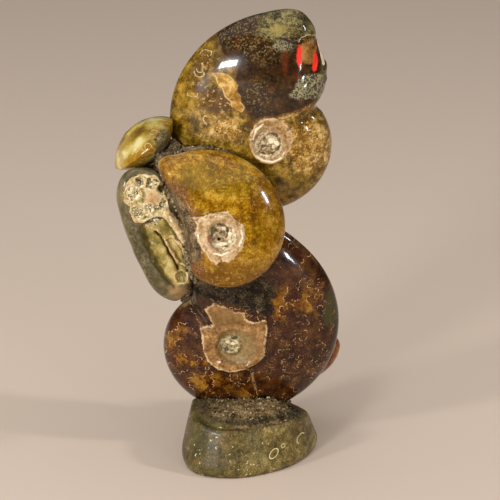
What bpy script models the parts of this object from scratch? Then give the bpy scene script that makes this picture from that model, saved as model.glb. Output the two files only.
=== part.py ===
"""Polished ammonite cluster: six coiled fossil shells still cemented in their sandstone, on a flat-cut foot.

Sizes are in millimetres and degrees, and MM turns them into metres. X is to the right, Y away from the
viewer and Z up, with the flat foot on Z = 0. A shell's own frame has its coiling axis along local Z, which
points out of the face that shows, and its outline is a growth spiral about that axis.
"""

import math

import bmesh
import bpy
from mathutils import Euler, Vector, noise

MM = 0.001

# Driving dimensions of the shells
GROWTH = 2.6  # a whorl is this many times wider one full turn later
SEAT_CLEARANCE = 0.45  # between a shell and the stone that holds it
FINE = (33, 16)  # segments round a large shell, and rings from one umbilicus to the other
COARSE = (24, 12)  # the same on a small one

# Driving dimensions of the stone foot
FOOT_CENTRE = (0.5, -1.0)
FOOT_OUTLINE = (
    (10, 16.2), (40, 16.0), (75, 14.6), (105, 14.6), (140, 16.0), (180, 15.8),
    (205, 17.2), (225, 18.6), (255, 16.4), (287, 14.0), (325, 13.8), (350, 14.8),
)
FOOT_EDGE = 0.8  # small round on the edge of the flat cut
FOOT_SEGMENTS = 40
LEDGE_HEIGHT = (
    (0, 9.0), (35, 7.6), (70, 8.6), (115, 10.5), (150, 11.8), (180, 12.4), (215, 11.8), (250, 11.2), (300, 11.0),
    (335, 10.4),
)
LEDGE_TAPER = 0.86  # the ledge's outline as a share of the foot's
BAND_DIP = 0.9  # how far the rough band sinks behind the ledge
SADDLE_HEIGHT = 13.2


def smooth_through(points, angle):
    """A smooth closed curve through (angle, value) points that go once round the circle."""
    count = len(points)
    angle = (angle - points[0][0]) % 360 + points[0][0]
    for index in range(count):
        here = points[index]
        after = points[(index + 1) % count]
        span = (after[0] - here[0]) % 360 or 360
        if angle <= here[0] + span:
            break
    before = points[index - 1]
    beyond = points[(index + 2) % count]
    slope_in = (after[1] - before[1]) / ((after[0] - before[0]) % 360 or 360)
    slope_out = (beyond[1] - here[1]) / ((beyond[0] - here[0]) % 360 or 360)
    t = (angle - here[0]) / span
    return (
        (2 * t**3 - 3 * t**2 + 1) * here[1]
        + (t**3 - 2 * t**2 + t) * span * slope_in
        + (3 * t**2 - 2 * t**3) * after[1]
        + (t**3 - t**2) * span * slope_out
    )


def ease(edge_low, edge_high, value):
    """0 below the first edge, 1 above the second, smooth between."""
    t = min(1.0, max(0.0, (value - edge_low) / (edge_high - edge_low)))
    return t * t * (3 - 2 * t)


class Ammonite:
    """One coiled shell: a lens whose rim is a growth spiral, worn or broken over part of its turn."""

    def __init__(self, name, centre, yaw, pitch, coil, radius, whole, worn, half_thickness, umbilicus, **more):
        self.name = name
        self.fineness = more.get("fineness", FINE)
        self.centre = Vector(centre)
        self.turn = Euler((math.radians(90 - pitch), 0, math.radians(yaw)))
        self.coil = coil
        self.radius = radius
        self.rim = self.rim_points(whole, worn)
        self.half_thickness = half_thickness
        self.umbilicus = umbilicus
        self.dip = more.get("dip", 1.3)
        self.fullness = more.get("fullness", 2.4)
        self.edge = more.get("edge", 0.5)
        self.blunt = more.get("blunt")
        self.step = more.get("step")

    def spiral(self, angle):
        return self.radius * GROWTH ** (self.coil * angle / 360)

    def rim_points(self, whole, worn):
        """Points every 15 degrees along the whole part of the spiral, then the ones where it is worn."""
        first, last = whole
        steps = max(2, round((last - first) / 15))
        kept = [first + (last - first) * k / steps for k in range(steps + 1)]
        return [(angle, self.spiral(angle)) for angle in kept] + list(worn)

    def rim_radius(self, angle):
        return smooth_through(self.rim, angle)

    def flank(self, angle, distance, rim):
        """Half thickness of the shell at a distance from its axis."""
        share = min(1.0, distance / rim)
        fullness = self.fullness
        if self.blunt:
            middle, width, sharpness = self.blunt
            away = abs((angle - middle + 180) % 360 - 180)
            fullness += (sharpness - fullness) * (1 - ease(width * 0.5, width, away))
        height = self.half_thickness * max(0.0, 1 - share**fullness) ** self.edge
        return height - self.dip * (1 - ease(0.35 * self.umbilicus, 1.1 * self.umbilicus, distance))

    def raised_whorl(self, angle, distance):
        """The last whorl stands proud of the one before it, outside its seam."""
        if not self.step:
            return 0.0
        height, seam = self.step
        start, end = seam[0][0], seam[-1][0]
        inside = (angle - start) % 360
        if inside > end - start:
            return 0.0
        seam_radius = smooth_through(seam, start + inside)
        fade = ease(0, 25, inside) * ease(0, 30, end - start - inside)
        return height * fade * ease(seam_radius - 0.4, seam_radius + 0.9, distance)

    def body(self, grown=0.0):
        """The closed surface, from a ball whose poles lie in the two umbilici and whose equator is the rim."""
        mesh = bmesh.new()
        segments, rings = self.fineness
        bmesh.ops.create_uvsphere(mesh, u_segments=segments, v_segments=rings, radius=1.0)
        for vertex in mesh.verts:
            angle = math.degrees(math.atan2(vertex.co.y, vertex.co.x))
            across = math.hypot(vertex.co.x, vertex.co.y)
            rim = self.rim_radius(angle)
            height = self.flank(angle, across * rim, rim)
            if vertex.co.z > 0:
                height += self.raised_whorl(angle, across * rim) * ease(1.0, 0.9, across)
            on_rim = across > 0.999
            height = 0.0 if on_rim else math.copysign(height + grown, vertex.co.z)
            distance = across * (rim + grown)
            place = (
                distance * math.cos(math.radians(angle)),
                distance * math.sin(math.radians(angle)),
                height,
            )
            vertex.co = Vector(place) * MM
        return mesh


class CutAmmonite(Ammonite):
    """A shell that was ground through, so that a long flat section faces front and half a disc lies behind."""

    recess_depth = 1.8
    recess_ends = (Vector((-1.2, 1.0)), Vector((0.9, -11.5)))
    recess_half_width = 3.0

    def recess(self, x, y):
        """The long hollow of the last whorl, open along the section."""
        start, end = self.recess_ends
        along = (Vector((x, y)) - start).dot(end - start) / (end - start).length_squared
        nearest = start.lerp(end, min(1.0, max(0.0, along)))
        away = (Vector((x, y)) - nearest).length
        return self.recess_depth * (1 - ease(0.45 * self.recess_half_width, self.recess_half_width, away))

    def __init__(self, name, centre, yaw, pitch, roll, front, back, rim):
        self.name = name
        self.fineness = FINE
        self.centre = Vector(centre)
        facing = Euler((math.radians(90 - pitch), 0, math.radians(yaw))).to_matrix()
        leaning = Euler((0, 0, math.radians(roll))).to_matrix()
        self.turn = (facing @ leaning).to_euler()
        self.front = front
        self.back = back
        self.rim = rim

    def body(self, grown=0.0):
        mesh = bmesh.new()
        segments, rings = self.fineness
        bmesh.ops.create_uvsphere(mesh, u_segments=segments, v_segments=rings, radius=1.0)
        for vertex in mesh.verts:
            angle = math.degrees(math.atan2(vertex.co.y, vertex.co.x))
            across = min(1.0, math.hypot(vertex.co.x, vertex.co.y))
            if vertex.co.z > 0:
                height = (self.front + grown) * math.sqrt(max(0.0, 1 - across**5))
            else:
                height = -(self.back + grown) * math.sqrt(max(0.0, 1 - across**2.2))
            if across > 0.999:
                height = 0.0
            distance = across * (self.rim_radius(angle) + grown)
            x = distance * math.cos(math.radians(angle))
            y = distance * math.sin(math.radians(angle))
            if vertex.co.z > 0:
                height -= self.recess(x, y)
            vertex.co = Vector((x, y, height)) * MM
        return mesh


LOWER = Ammonite(
    "lower_ammonite", (-4.2, 2.5, 28.0), yaw=0, pitch=-6, coil=1, radius=9.8, whole=(131, 430),
    worn=((448, 29.5), (465, 24.0), (479, 17.6)), half_thickness=6.6, umbilicus=5.6,
)
MIDDLE = Ammonite(
    "middle_ammonite", (-6.5, -9.0, 57.8), yaw=10, pitch=24, coil=1, radius=15.2, whole=(-124, 127),
    worn=((135, 15.6), (145, 11.2), (158, 9.0), (180, 7.8), (200, 7.7), (218, 8.8)), half_thickness=5.6, umbilicus=3.6,
    blunt=(180, 70, 6.0),
)
UPPER = Ammonite(
    "upper_ammonite", (5.1, 7.0, 76.5), yaw=0, pitch=0, coil=-1, radius=14.2, whole=(78 - 360, 24),
    worn=((36, 13.1), (41, 16.3), (50, 20.5), (62, 24.0), (70, 28.0)), half_thickness=6.2, umbilicus=4.2,
    blunt=(56, 52, 4.0),
    step=(1.2, ((36, 13.0), (52, 7.8), (75, 5.2), (97, 4.3), (125, 5.0), (148, 6.3))),
)
SIDE = CutAmmonite(
    "side_ammonite", (-21.4, -7.0, 56.8), yaw=8, pitch=6, roll=17.5, front=3.2, back=11.0,
    rim=((0, 5.4), (30, 7.0), (55, 10.8), (68, 14.6), (78, 15.9), (95, 16.0), (108, 13.8), (130, 8.8),
         (160, 6.2), (195, 5.9), (232, 8.4), (258, 14.4), (270, 16.3), (282, 15.0), (296, 10.6), (330, 6.0)),
)
SMALL = Ammonite(
    "small_ammonite", (-24.0, 5.2, 75.4), yaw=-90, pitch=50, coil=1, radius=10.8, whole=(-100, 20),
    worn=((80, 9.0), (135, 8.0), (200, 8.2), (235, 8.6)), half_thickness=4.4, umbilicus=2.6, dip=0.8,
    fullness=2.2, edge=0.8, fineness=COARSE,
)
REAR = Ammonite(
    "rear_ammonite", (9.5, 14.4, 17.6), yaw=188, pitch=4, coil=1, radius=8.6, whole=(-60, 170),
    worn=((225, 9.0),), half_thickness=4.4, umbilicus=2.6, dip=0.9, fineness=COARSE,
)
SHELLS = (LOWER, MIDDLE, UPPER, SIDE, SMALL, REAR)

# The stone behind and between the shells: centre, half sizes and lean to the left of each lump
STONE_LUMPS = {
    "stone_heart": ((-6.0, 0.0, 57.0), (10.0, 6.5, 14.0), 0),
    "stone_front": ((-6.0, -5.0, 49.5), (8.0, 5.5, 7.5), 0),
    "stone_groove": ((-16.0, -3.0, 60.0), (3.4, 6.0, 14.0), 14),
    "stone_left": ((-17.0, 4.5, 65.0), (7.5, 6.0, 11.0), 12),
    "stone_shoulder": ((-9.0, 6.5, 65.0), (12.0, 7.0, 10.0), 20),
    "stone_back": ((-5.0, 7.0, 56.0), (11.5, 7.0, 17.0), 0),
    "ridge_middle": ((-7.0, 7.0, 42.0), (10.0, 6.5, 16.0), 10),
    "ridge_low": ((-3.0, 7.5, 28.0), (12.0, 6.5, 16.0), -10),
    "stone_root": ((0.5, 9.0, 13.0), (10.5, 7.0, 12.0), 0),
}
LUMP_ROUGHNESS = 1.8
LUMP_GRAIN = 5.5
COLLAR_GROWTH = 0.5  # the stone shows as a narrow collar along the top left edge of the middle shell
COLLAR_SHIFT = Vector((-0.9, 0.5, -2.6))  # in that shell's own frame


def material(name, colour, roughness, metallic=0.0):
    made = bpy.data.materials.new(name)
    made.use_nodes = True
    shader = made.node_tree.nodes["Principled BSDF"]
    shader.inputs["Base Color"].default_value = (*colour, 1.0)
    shader.inputs["Roughness"].default_value = roughness
    shader.inputs["Metallic"].default_value = metallic
    return made


def add_object(name, mesh, collection, finish=None):
    """Turns a bmesh into an object of a collection, shaded smooth."""
    data = bpy.data.meshes.new(name)
    bmesh.ops.recalc_face_normals(mesh, faces=mesh.faces)
    mesh.to_mesh(data)
    mesh.free()
    data.shade_smooth()
    obj = bpy.data.objects.new(name, data)
    collection.objects.link(obj)
    if finish:
        data.materials.append(finish)
    return obj


def place(obj, shell):
    obj.location = shell.centre * MM
    obj.rotation_euler = shell.turn


def hide_as_helper(obj):
    obj.hide_render = True
    obj.display_type = "WIRE"


def build_shell(shell, collection, finish):
    obj = add_object(shell.name, shell.body(), collection, finish)
    place(obj, shell)
    return obj


def build_seat(shell, cutters):
    """The space that a shell takes up in the stone: the shell itself, a little larger."""
    obj = add_object(shell.name + "_seat", shell.body(SEAT_CLEARANCE), cutters)
    place(obj, shell)
    hide_as_helper(obj)
    return obj


def build_lump(name, centre, half_sizes, lean, lumps):
    mesh = bmesh.new()
    bmesh.ops.create_icosphere(mesh, subdivisions=3, radius=1.0)
    for vertex in mesh.verts:
        stretched = Vector([vertex.co[axis] * half_sizes[axis] for axis in range(3)])
        seed = (stretched + Vector(centre)) / LUMP_GRAIN
        stretched += vertex.normal * LUMP_ROUGHNESS * noise.noise(seed)
        vertex.co = stretched * MM
    obj = add_object(name, mesh, lumps)
    obj.location = Vector(centre) * MM
    obj.rotation_euler = (0, math.radians(-lean), 0)
    hide_as_helper(obj)
    return obj


def build_collar(shell, lumps):
    """The shell's own form, a little larger and set back to the upper left, as the stone that hugs its edge."""
    obj = add_object("stone_collar", shell.body(COLLAR_GROWTH), lumps)
    obj.location = (shell.centre + shell.turn.to_matrix() @ COLLAR_SHIFT) * MM
    obj.rotation_euler = shell.turn
    hide_as_helper(obj)
    return obj


def foot_ring(mesh, share, inset, height):
    """One ring of points round the foot; height is a number or a function of the angle."""
    ring = []
    for step in range(FOOT_SEGMENTS):
        angle = 360 * step / FOOT_SEGMENTS
        radius = smooth_through(FOOT_OUTLINE, angle) * share - inset
        x = FOOT_CENTRE[0] + radius * math.cos(math.radians(angle))
        y = FOOT_CENTRE[1] + radius * math.sin(math.radians(angle))
        z = height(angle) if callable(height) else height
        ring.append(mesh.verts.new(Vector((x, y, z)) * MM))
    return ring


def join_rings(mesh, below, above):
    for k in range(FOOT_SEGMENTS):
        after = (k + 1) % FOOT_SEGMENTS
        mesh.faces.new((below[k], below[after], above[after], above[k]))


def build_foot(collection, finish):
    """A loft from the flat cut, up the polished wall to the ledge, and in over the rough band to the saddle."""
    def ledge(angle):
        return smooth_through(LEDGE_HEIGHT, angle)

    def front(angle):
        return 1 - ease(35, 75, abs(angle - 270))

    mesh = bmesh.new()
    rings = [
        foot_ring(mesh, 1.0, FOOT_EDGE, 0.0),
        foot_ring(mesh, 1.0, 0.1, FOOT_EDGE),
        foot_ring(mesh, 1.0, 0.0, 2.5),
        foot_ring(mesh, (1 + LEDGE_TAPER) / 2, 0.0, lambda angle: 0.62 * ledge(angle)),
        foot_ring(mesh, LEDGE_TAPER, 0.0, ledge),
        foot_ring(mesh, LEDGE_TAPER, 1.2, lambda angle: ledge(angle) - BAND_DIP * front(angle)),
        foot_ring(mesh, 0.62, 0.0, lambda angle: ledge(angle) + 0.6),
        foot_ring(mesh, 0.35, 0.0, SADDLE_HEIGHT),
    ]
    for below, above in zip(rings, rings[1:]):
        join_rings(mesh, below, above)
    mesh.faces.new(reversed(rings[0]))
    mesh.faces.new(rings[-1])
    return add_object("matrix_stone", mesh, collection, finish)


def boolean(obj, operation, other):
    """Joins or cuts with one object, or with every object of a collection."""
    cut = obj.modifiers.new(operation.title(), "BOOLEAN")
    cut.operation = operation
    cut.solver = "EXACT"
    if isinstance(other, bpy.types.Collection):
        cut.operand_type = "COLLECTION"
        cut.collection = other
    else:
        cut.object = other


def new_collection(name):
    made = bpy.data.collections.new(name)
    bpy.context.scene.collection.children.link(made)
    return made


def main():
    for obj in list(bpy.data.objects):
        bpy.data.objects.remove(obj)

    parts = new_collection("polished_ammonite_cluster")
    lumps = new_collection("stone_lumps")
    seats = new_collection("shell_seats")

    finishes = {
        "lower_ammonite": material("brown_calcite_shell", (0.085, 0.035, 0.014), 0.12),
        "middle_ammonite": material("honey_calcite_shell", (0.42, 0.21, 0.035), 0.12),
        "upper_ammonite": material("olive_calcite_shell", (0.30, 0.19, 0.05), 0.12),
        "side_ammonite": material("grey_calcite_shell", (0.30, 0.25, 0.15), 0.14),
        "small_ammonite": material("green_calcite_shell", (0.28, 0.21, 0.06), 0.12),
        "rear_ammonite": material("orange_calcite_shell", (0.50, 0.20, 0.03), 0.12),
    }
    stone = material("olive_sandstone", (0.14, 0.13, 0.07), 0.55)

    built = {shell.name: build_shell(shell, parts, finishes[shell.name]) for shell in SHELLS}
    spaces = {shell.name: build_seat(shell, seats) for shell in SHELLS}
    boolean(built["small_ammonite"], "DIFFERENCE", spaces["upper_ammonite"])

    for name, (centre, half_sizes, lean) in STONE_LUMPS.items():
        build_lump(name, centre, half_sizes, lean, lumps)
    build_collar(MIDDLE, lumps)
    foot = build_foot(parts, stone)
    boolean(foot, "UNION", lumps)
    boolean(foot, "DIFFERENCE", seats)


main()
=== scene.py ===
"""The looks of the polished ammonite cluster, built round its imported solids.

Every place in a shell is given in its own flat coordinates, in millimetres: the coiling axis is the origin,
the third coordinate points out of the face that shows, and a direction is in degrees from the shell's right.
The shells have the sizes and places of their solids, apart from these: the cut shell's right edge is up to
2.4 mm wider here, the middle shell's umbilicus dips 0.2 mm deeper, and the top shell's lip is blunt and its step
fades over a longer stretch.
"""

import math

import bmesh
import bpy
import numpy as np
from mathutils import Euler, Matrix, Vector, noise


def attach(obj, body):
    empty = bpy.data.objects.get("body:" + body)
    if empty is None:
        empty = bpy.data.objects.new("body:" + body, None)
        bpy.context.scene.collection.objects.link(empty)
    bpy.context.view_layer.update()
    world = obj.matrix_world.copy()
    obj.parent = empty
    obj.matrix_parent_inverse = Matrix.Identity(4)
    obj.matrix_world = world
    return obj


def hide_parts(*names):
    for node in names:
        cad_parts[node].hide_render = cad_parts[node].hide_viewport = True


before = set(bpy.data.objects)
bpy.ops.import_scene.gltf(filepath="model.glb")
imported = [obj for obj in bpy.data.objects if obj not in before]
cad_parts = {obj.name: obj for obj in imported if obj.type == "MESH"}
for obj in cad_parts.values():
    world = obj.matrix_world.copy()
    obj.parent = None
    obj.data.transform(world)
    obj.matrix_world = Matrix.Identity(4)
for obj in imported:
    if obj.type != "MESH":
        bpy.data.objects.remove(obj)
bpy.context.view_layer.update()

MM = 0.001
GROWTH = 2.6  # a whorl is this many times wider one full turn later
RIBS_PER_TURN = 26

# How fine the meshes are
SEGMENTS = 340
FRONT_RINGS = (34, 84)  # across the umbilicus, and from there to the rim
BACK_RINGS = (14, 34)
SECTION_RINGS = 130  # on the shell that was cut open
GRIT_VOXEL = 0.5
ON_RIM = 0.9999  # a point further out than this share of the way from the axis lies on the rim

# Distances in millimetres that mean that no edge is near
FAR = 9.0
OUTSIDE = -3.0
NO_SEAM = 99.0

# The view of the photograph
CAMERA_TARGET = Vector((0.5, 0.0, 50.8)) * MM
CAMERA_DISTANCE = 420.0 * MM
CAMERA_ELEVATION = math.radians(20)
CAMERA_LENS = 130.0


# Numbers and noise


def smooth_closed(points, degrees):
    """A smooth closed curve through (degrees, value) points that go once round the circle."""
    knots = np.array([point[0] for point in points], float)
    values = np.array([point[1] for point in points], float)
    gaps = np.diff(np.append(knots, knots[0] + 360))
    slopes = (np.roll(values, -1) - np.roll(values, 1)) / (gaps + np.roll(gaps, 1))
    along = (np.asarray(degrees) - knots[0]) % 360 + knots[0]
    here = np.clip(np.searchsorted(knots, along, side="right") - 1, 0, len(knots) - 1)
    after = (here + 1) % len(knots)
    span = gaps[here]
    t = (along - knots[here]) / span
    return (
        (2 * t**3 - 3 * t**2 + 1) * values[here]
        + (t**3 - 2 * t**2 + t) * span * slopes[here]
        + (3 * t**2 - 2 * t**3) * values[after]
        + (t**3 - t**2) * span * slopes[after]
    )


def ease(low, high, value):
    """0 at the low edge, 1 at the high one, smooth between."""
    t = np.clip((value - low) / (high - low), 0, 1)
    return t * t * (3 - 2 * t)


def rough(points, grain, octaves, seed):
    """Smooth noise from -1 to 1 at points in millimetres, with bumps about a grain wide."""
    offset = Vector((seed, seed * 0.7, -seed))
    return np.array([noise.fractal(Vector(p) / grain + offset, 0.9, 2.0, octaves) for p in points])


def segment_distance(x, y, start, end):
    """Distance in millimetres to a straight piece of line."""
    (ax, ay), (bx, by) = start, end
    length = (bx - ax) ** 2 + (by - ay) ** 2
    t = np.clip(((x - ax) * (bx - ax) + (y - ay) * (by - ay)) / length, 0, 1)
    return np.hypot(x - ax - t * (bx - ax), y - ay - t * (by - ay))


def line_distance(x, y, points):
    """Distance in millimetres to an open line."""
    return np.minimum.reduce([segment_distance(x, y, a, b) for a, b in zip(points, points[1:])])


def polygon_distance(x, y, corners):
    """Distance in millimetres to a closed outline, positive inside it."""
    inside = np.zeros(x.shape, bool)
    for (ax, ay), (bx, by) in zip(corners, corners[1:] + corners[:1]):
        inside ^= ((ay > y) != (by > y)) & (x < (bx - ax) * (y - ay) / (by - ay + 1e-12) + ax)
    nearest = line_distance(x, y, corners + corners[:1])
    return np.where(inside, nearest, -nearest)


def patches(x, y, spots):
    """Soft spots added up: each is (x, y, half width, half height, strength), fading out at its edge."""
    total = np.zeros(x.shape)
    for centre_x, centre_y, half_width, half_height, strength in spots:
        away = np.hypot((x - centre_x) / half_width, (y - centre_y) / half_height)
        total += strength * (1 - ease(0.35, 1.25, away))
    return np.clip(total, 0, 1)


def groove(x, y, line, width, depth):
    """A rounded furrow along a line."""
    return -depth * (1 - ease(0.2 * width, width, line_distance(x, y, line)))


def dimple(x, y, spot, radius, depth):
    return -depth * (1 - ease(0.35 * radius, radius, np.hypot(x - spot[0], y - spot[1])))


def tone(code):
    """A colour code as the linear red, green, blue and alpha that a shader takes."""
    parts = [int(code[k : k + 2], 16) / 255 for k in (1, 3, 5)]
    return (*[p / 12.92 if p <= 0.04045 else ((p + 0.055) / 1.055) ** 2.4 for p in parts], 1.0)


def stops(*codes):
    """A ramp's stops for colour codes from dark to light, closest together about the middle."""
    places = {3: (0.3, 0.5, 0.72), 4: (0.26, 0.43, 0.58, 0.8), 5: (0.2, 0.37, 0.5, 0.64, 0.84)}[len(codes)]
    return [(place, tone(code)) for place, code in zip(places, codes)]


# Node trees written as expressions


class Amount:
    """A number inside a node tree: Python's operators on it add Math nodes."""

    def __init__(self, graph, socket):
        self.graph = graph
        self.socket = socket

    def maths(self, operation, *others):
        node = self.graph.add("ShaderNodeMath", {"operation": operation}, dict(enumerate((self, *others))))
        return Amount(self.graph, node.outputs[0])

    def reflected(self, operation, other):
        node = self.graph.add("ShaderNodeMath", {"operation": operation}, {0: other, 1: self})
        return Amount(self.graph, node.outputs[0])

    def __add__(self, other):
        return self.maths("ADD", other)

    def __sub__(self, other):
        return self.maths("SUBTRACT", other)

    def __mul__(self, other):
        return self.maths("MULTIPLY", other)

    def __truediv__(self, other):
        return self.maths("DIVIDE", other)

    def __pow__(self, other):
        return self.maths("POWER", other)

    def __rsub__(self, other):
        return self.reflected("SUBTRACT", other)

    def __rtruediv__(self, other):
        return self.reflected("DIVIDE", other)

    def __rpow__(self, other):
        return self.reflected("POWER", other)

    def __neg__(self):
        return self.reflected("SUBTRACT", 0.0)

    def __abs__(self):
        return self.maths("ABSOLUTE")

    __radd__ = __add__
    __rmul__ = __mul__

    def at_least(self, other):
        return self.maths("MAXIMUM", other)

    def at_most(self, other):
        return self.maths("MINIMUM", other)

    def ease(self, low, high):
        """0 at the low edge, 1 at the high one, smooth between."""
        sockets = {"Value": self, "From Min": low, "From Max": high}
        node = self.graph.add("ShaderNodeMapRange", {"interpolation_type": "SMOOTHSTEP"}, sockets)
        return Amount(self.graph, node.outputs[0])


class Graph:
    """Adds nodes to a shader or geometry tree."""

    def __init__(self, tree):
        self.tree = tree

    def add(self, kind, settings=None, sockets=None):
        """A node of a type, with its settings set first and then the values or links of its sockets."""
        node = self.tree.nodes.new(kind)
        for name, value in (settings or {}).items():
            if name == "stops":
                self.set_stops(node.color_ramp, value)
            else:
                setattr(node, name, value)
        for key, value in (sockets or {}).items():
            self.feed(node.inputs[key], value)
        return node

    def feed(self, socket, value):
        if isinstance(value, Amount):
            value = value.socket
        if isinstance(value, bpy.types.NodeSocket):
            self.tree.links.new(value, socket)
        else:
            socket.default_value = value

    def set_stops(self, ramp, values):
        while len(ramp.elements) < len(values):
            ramp.elements.new(0.5)
        for element, (place, colour) in zip(ramp.elements, values):
            element.position = place
            element.color = colour

    def amount(self, kind, settings=None, sockets=None, output=0):
        return Amount(self, self.add(kind, settings, sockets).outputs[output])


class Paint(Graph):
    """A material's nodes: colours in, a finished surface out."""

    def __init__(self, name, **constants):
        self.material = bpy.data.materials.new(name)
        self.material.use_nodes = True
        super().__init__(self.material.node_tree)
        self.shader = self.tree.nodes["Principled BSDF"]
        for socket, value in constants.items():
            self.shader.inputs[socket.replace("_", " ")].default_value = value

    def field(self, name):
        """A number that the mesh carries."""
        return self.amount("ShaderNodeAttribute", {"attribute_name": name}, output="Fac")

    def area(self, name, ragged, low, high):
        """Where the mesh marks an area, its edge made ragged by noise about 0."""
        return (self.field(name) + ragged).ease(low, high)

    def place(self):
        """The shell's own coordinates, in millimetres."""
        return self.add("ShaderNodeAttribute", {"attribute_name": "flat"}).outputs["Vector"]

    def parts(self, where):
        node = self.add("ShaderNodeSeparateXYZ", {}, {0: where})
        return [Amount(self, output) for output in node.outputs]

    def speckle(self, where, per_mm, detail=2.0, roughness=0.5):
        sockets = {"Vector": where, "Scale": per_mm, "Detail": detail, "Roughness": roughness}
        return self.amount("ShaderNodeTexNoise", {}, sockets, "Fac")

    def waver(self, where, per_mm, detail=2.0, roughness=0.5):
        """The same noise, moved to lie about 0."""
        return self.speckle(where, per_mm, detail, roughness) - 0.5

    def cells(self, where, per_mm):
        """Distance to the nearest of scattered points, as a share of the gap between them."""
        return self.amount("ShaderNodeTexVoronoi", {}, {"Vector": where, "Scale": per_mm}, "Distance")

    def shards(self, where, per_mm):
        """Cells that each take a number of their own from 0 to 1."""
        return self.amount("ShaderNodeTexVoronoi", {}, {"Vector": where, "Scale": per_mm}, "Color")

    def cell(self, where, per_mm, feature):
        """The nearest or next nearest of points scattered over the flat plane: its distance and its place."""
        settings = {"feature": feature, "voronoi_dimensions": "2D"}
        sockets = {"Vector": where, "Scale": per_mm, "Randomness": 0.75}
        node = self.add("ShaderNodeTexVoronoi", settings, sockets)
        return Amount(self, node.outputs["Distance"]), node.outputs["Position"]

    def dots(self, where, per_mm, size):
        """Small round specks of a size, as a share of the gap between them."""
        return 1 - self.cells(where, per_mm).ease(size * 0.6, size)

    def flakes(self, where, per_mm, least=0.6):
        """Small ragged specks."""
        return self.speckle(where, per_mm, 3.0, 0.65).ease(least, least + 0.06)

    def threads(self, where, per_mm, width):
        """Thin wandering lines, 1 on the line."""
        return 1 - abs(self.waver(where, per_mm)).ease(width * 0.25, width)

    def moved(self, where, offset=(0, 0, 0), scale=(1, 1, 1)):
        sockets = {"Vector": where, "Location": offset, "Scale": scale}
        return self.add("ShaderNodeMapping", {}, sockets).outputs[0]

    def vector_maths(self, operation, first, second):
        return self.add("ShaderNodeVectorMath", {"operation": operation}, {0: first, 1: second}).outputs[0]

    def warped(self, where, per_mm, reach):
        """The same coordinates pushed about by noise, up to reach millimetres."""
        push = self.add("ShaderNodeTexNoise", {}, {"Vector": where, "Scale": per_mm, "Detail": 2.0})
        centred = self.vector_maths("SUBTRACT", push.outputs["Color"], (0.5, 0.5, 0.5))
        return self.vector_maths("ADD", where, self.vector_maths("MULTIPLY", centred, (2 * reach,) * 3))

    def ramp(self, value, *codes):
        return self.add("ShaderNodeValToRGB", {"stops": stops(*codes)}, {"Fac": value}).outputs["Color"]

    def mix(self, share, first, second):
        """Two colours, each a socket or a colour code."""
        first, second = [tone(colour) if isinstance(colour, str) else colour for colour in (first, second)]
        return self.add("ShaderNodeMix", {"data_type": "RGBA"}, {0: share, 6: first, 7: second}).outputs[2]

    def bump(self, height, reach):
        """Relief of a height from 0 to 1 that stands reach millimetres high."""
        sockets = {"Height": height, "Strength": 1.0, "Distance": reach * MM}
        return self.add("ShaderNodeBump", {}, sockets).outputs["Normal"]

    def finish(self, **links):
        for socket, value in links.items():
            self.feed(self.shader.inputs[socket.replace("_", " ")], value)
        return self.material


# Finishes


SHELL_POLISH = {"Coat_Roughness": 0.05, "Coat_IOR": 1.3, "Specular_IOR_Level": 0.12}
GREEN_CORE = ("#4A4A2C", "#7E7048", "#A89468", "#E4D6AC")
TAN_CORE = ("#3C3420", "#786440", "#AE9268", "#F0DEBA")
RAYS_PER_TURN = 37.0  # fine growth lines about an umbilicus


def cloudy_calcite(paint, where, codes, blotch=0.55, contrast=1.0, grain=0.4):
    """Polished calcite seen into: broad clouds, blotches of crystal and fine grain."""
    clouds = paint.waver(paint.warped(where, 0.3, 1.4), 0.19)
    blotches = paint.waver(paint.warped(where, 0.8, 0.5), blotch, 3.0, 0.6)
    crystals = paint.shards(paint.warped(where, 1.4, 0.5), 1.3) - 0.5
    fine = paint.waver(where, 2.6, 2.0, 0.6)
    depth = 0.5 + (clouds * 1.1 + blotches * 1.4 + crystals * 0.16 + fine * grain) * contrast
    return paint.ramp(depth, *codes)


def scallops(paint, where, lobes_per_mm, scallops_per_mm, least):
    """Frilled septa seen through the flank: 1 inside the lobes, and a fine line round their scalloped edges.

    The lobes are made of whole round cells, so a cell with its nearest neighbour left out shows its own arc.
    """
    shaken = paint.warped(where, 1.2, 0.12)
    away, here = paint.cell(shaken, scallops_per_mm, "F1")
    _, beside = paint.cell(shaken, scallops_per_mm, "F2")
    taken, beside_taken = [
        paint.speckle(place, lobes_per_mm, 1.0).ease(least - 0.004, least + 0.004) for place in (here, beside)
    ]
    inside = taken * beside_taken.at_least(1 - away.ease(0.45, 0.5))
    line = taken * (1 - beside_taken) * (1 - abs(away - 0.46).ease(0.025, 0.1))
    return inside, line


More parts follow.
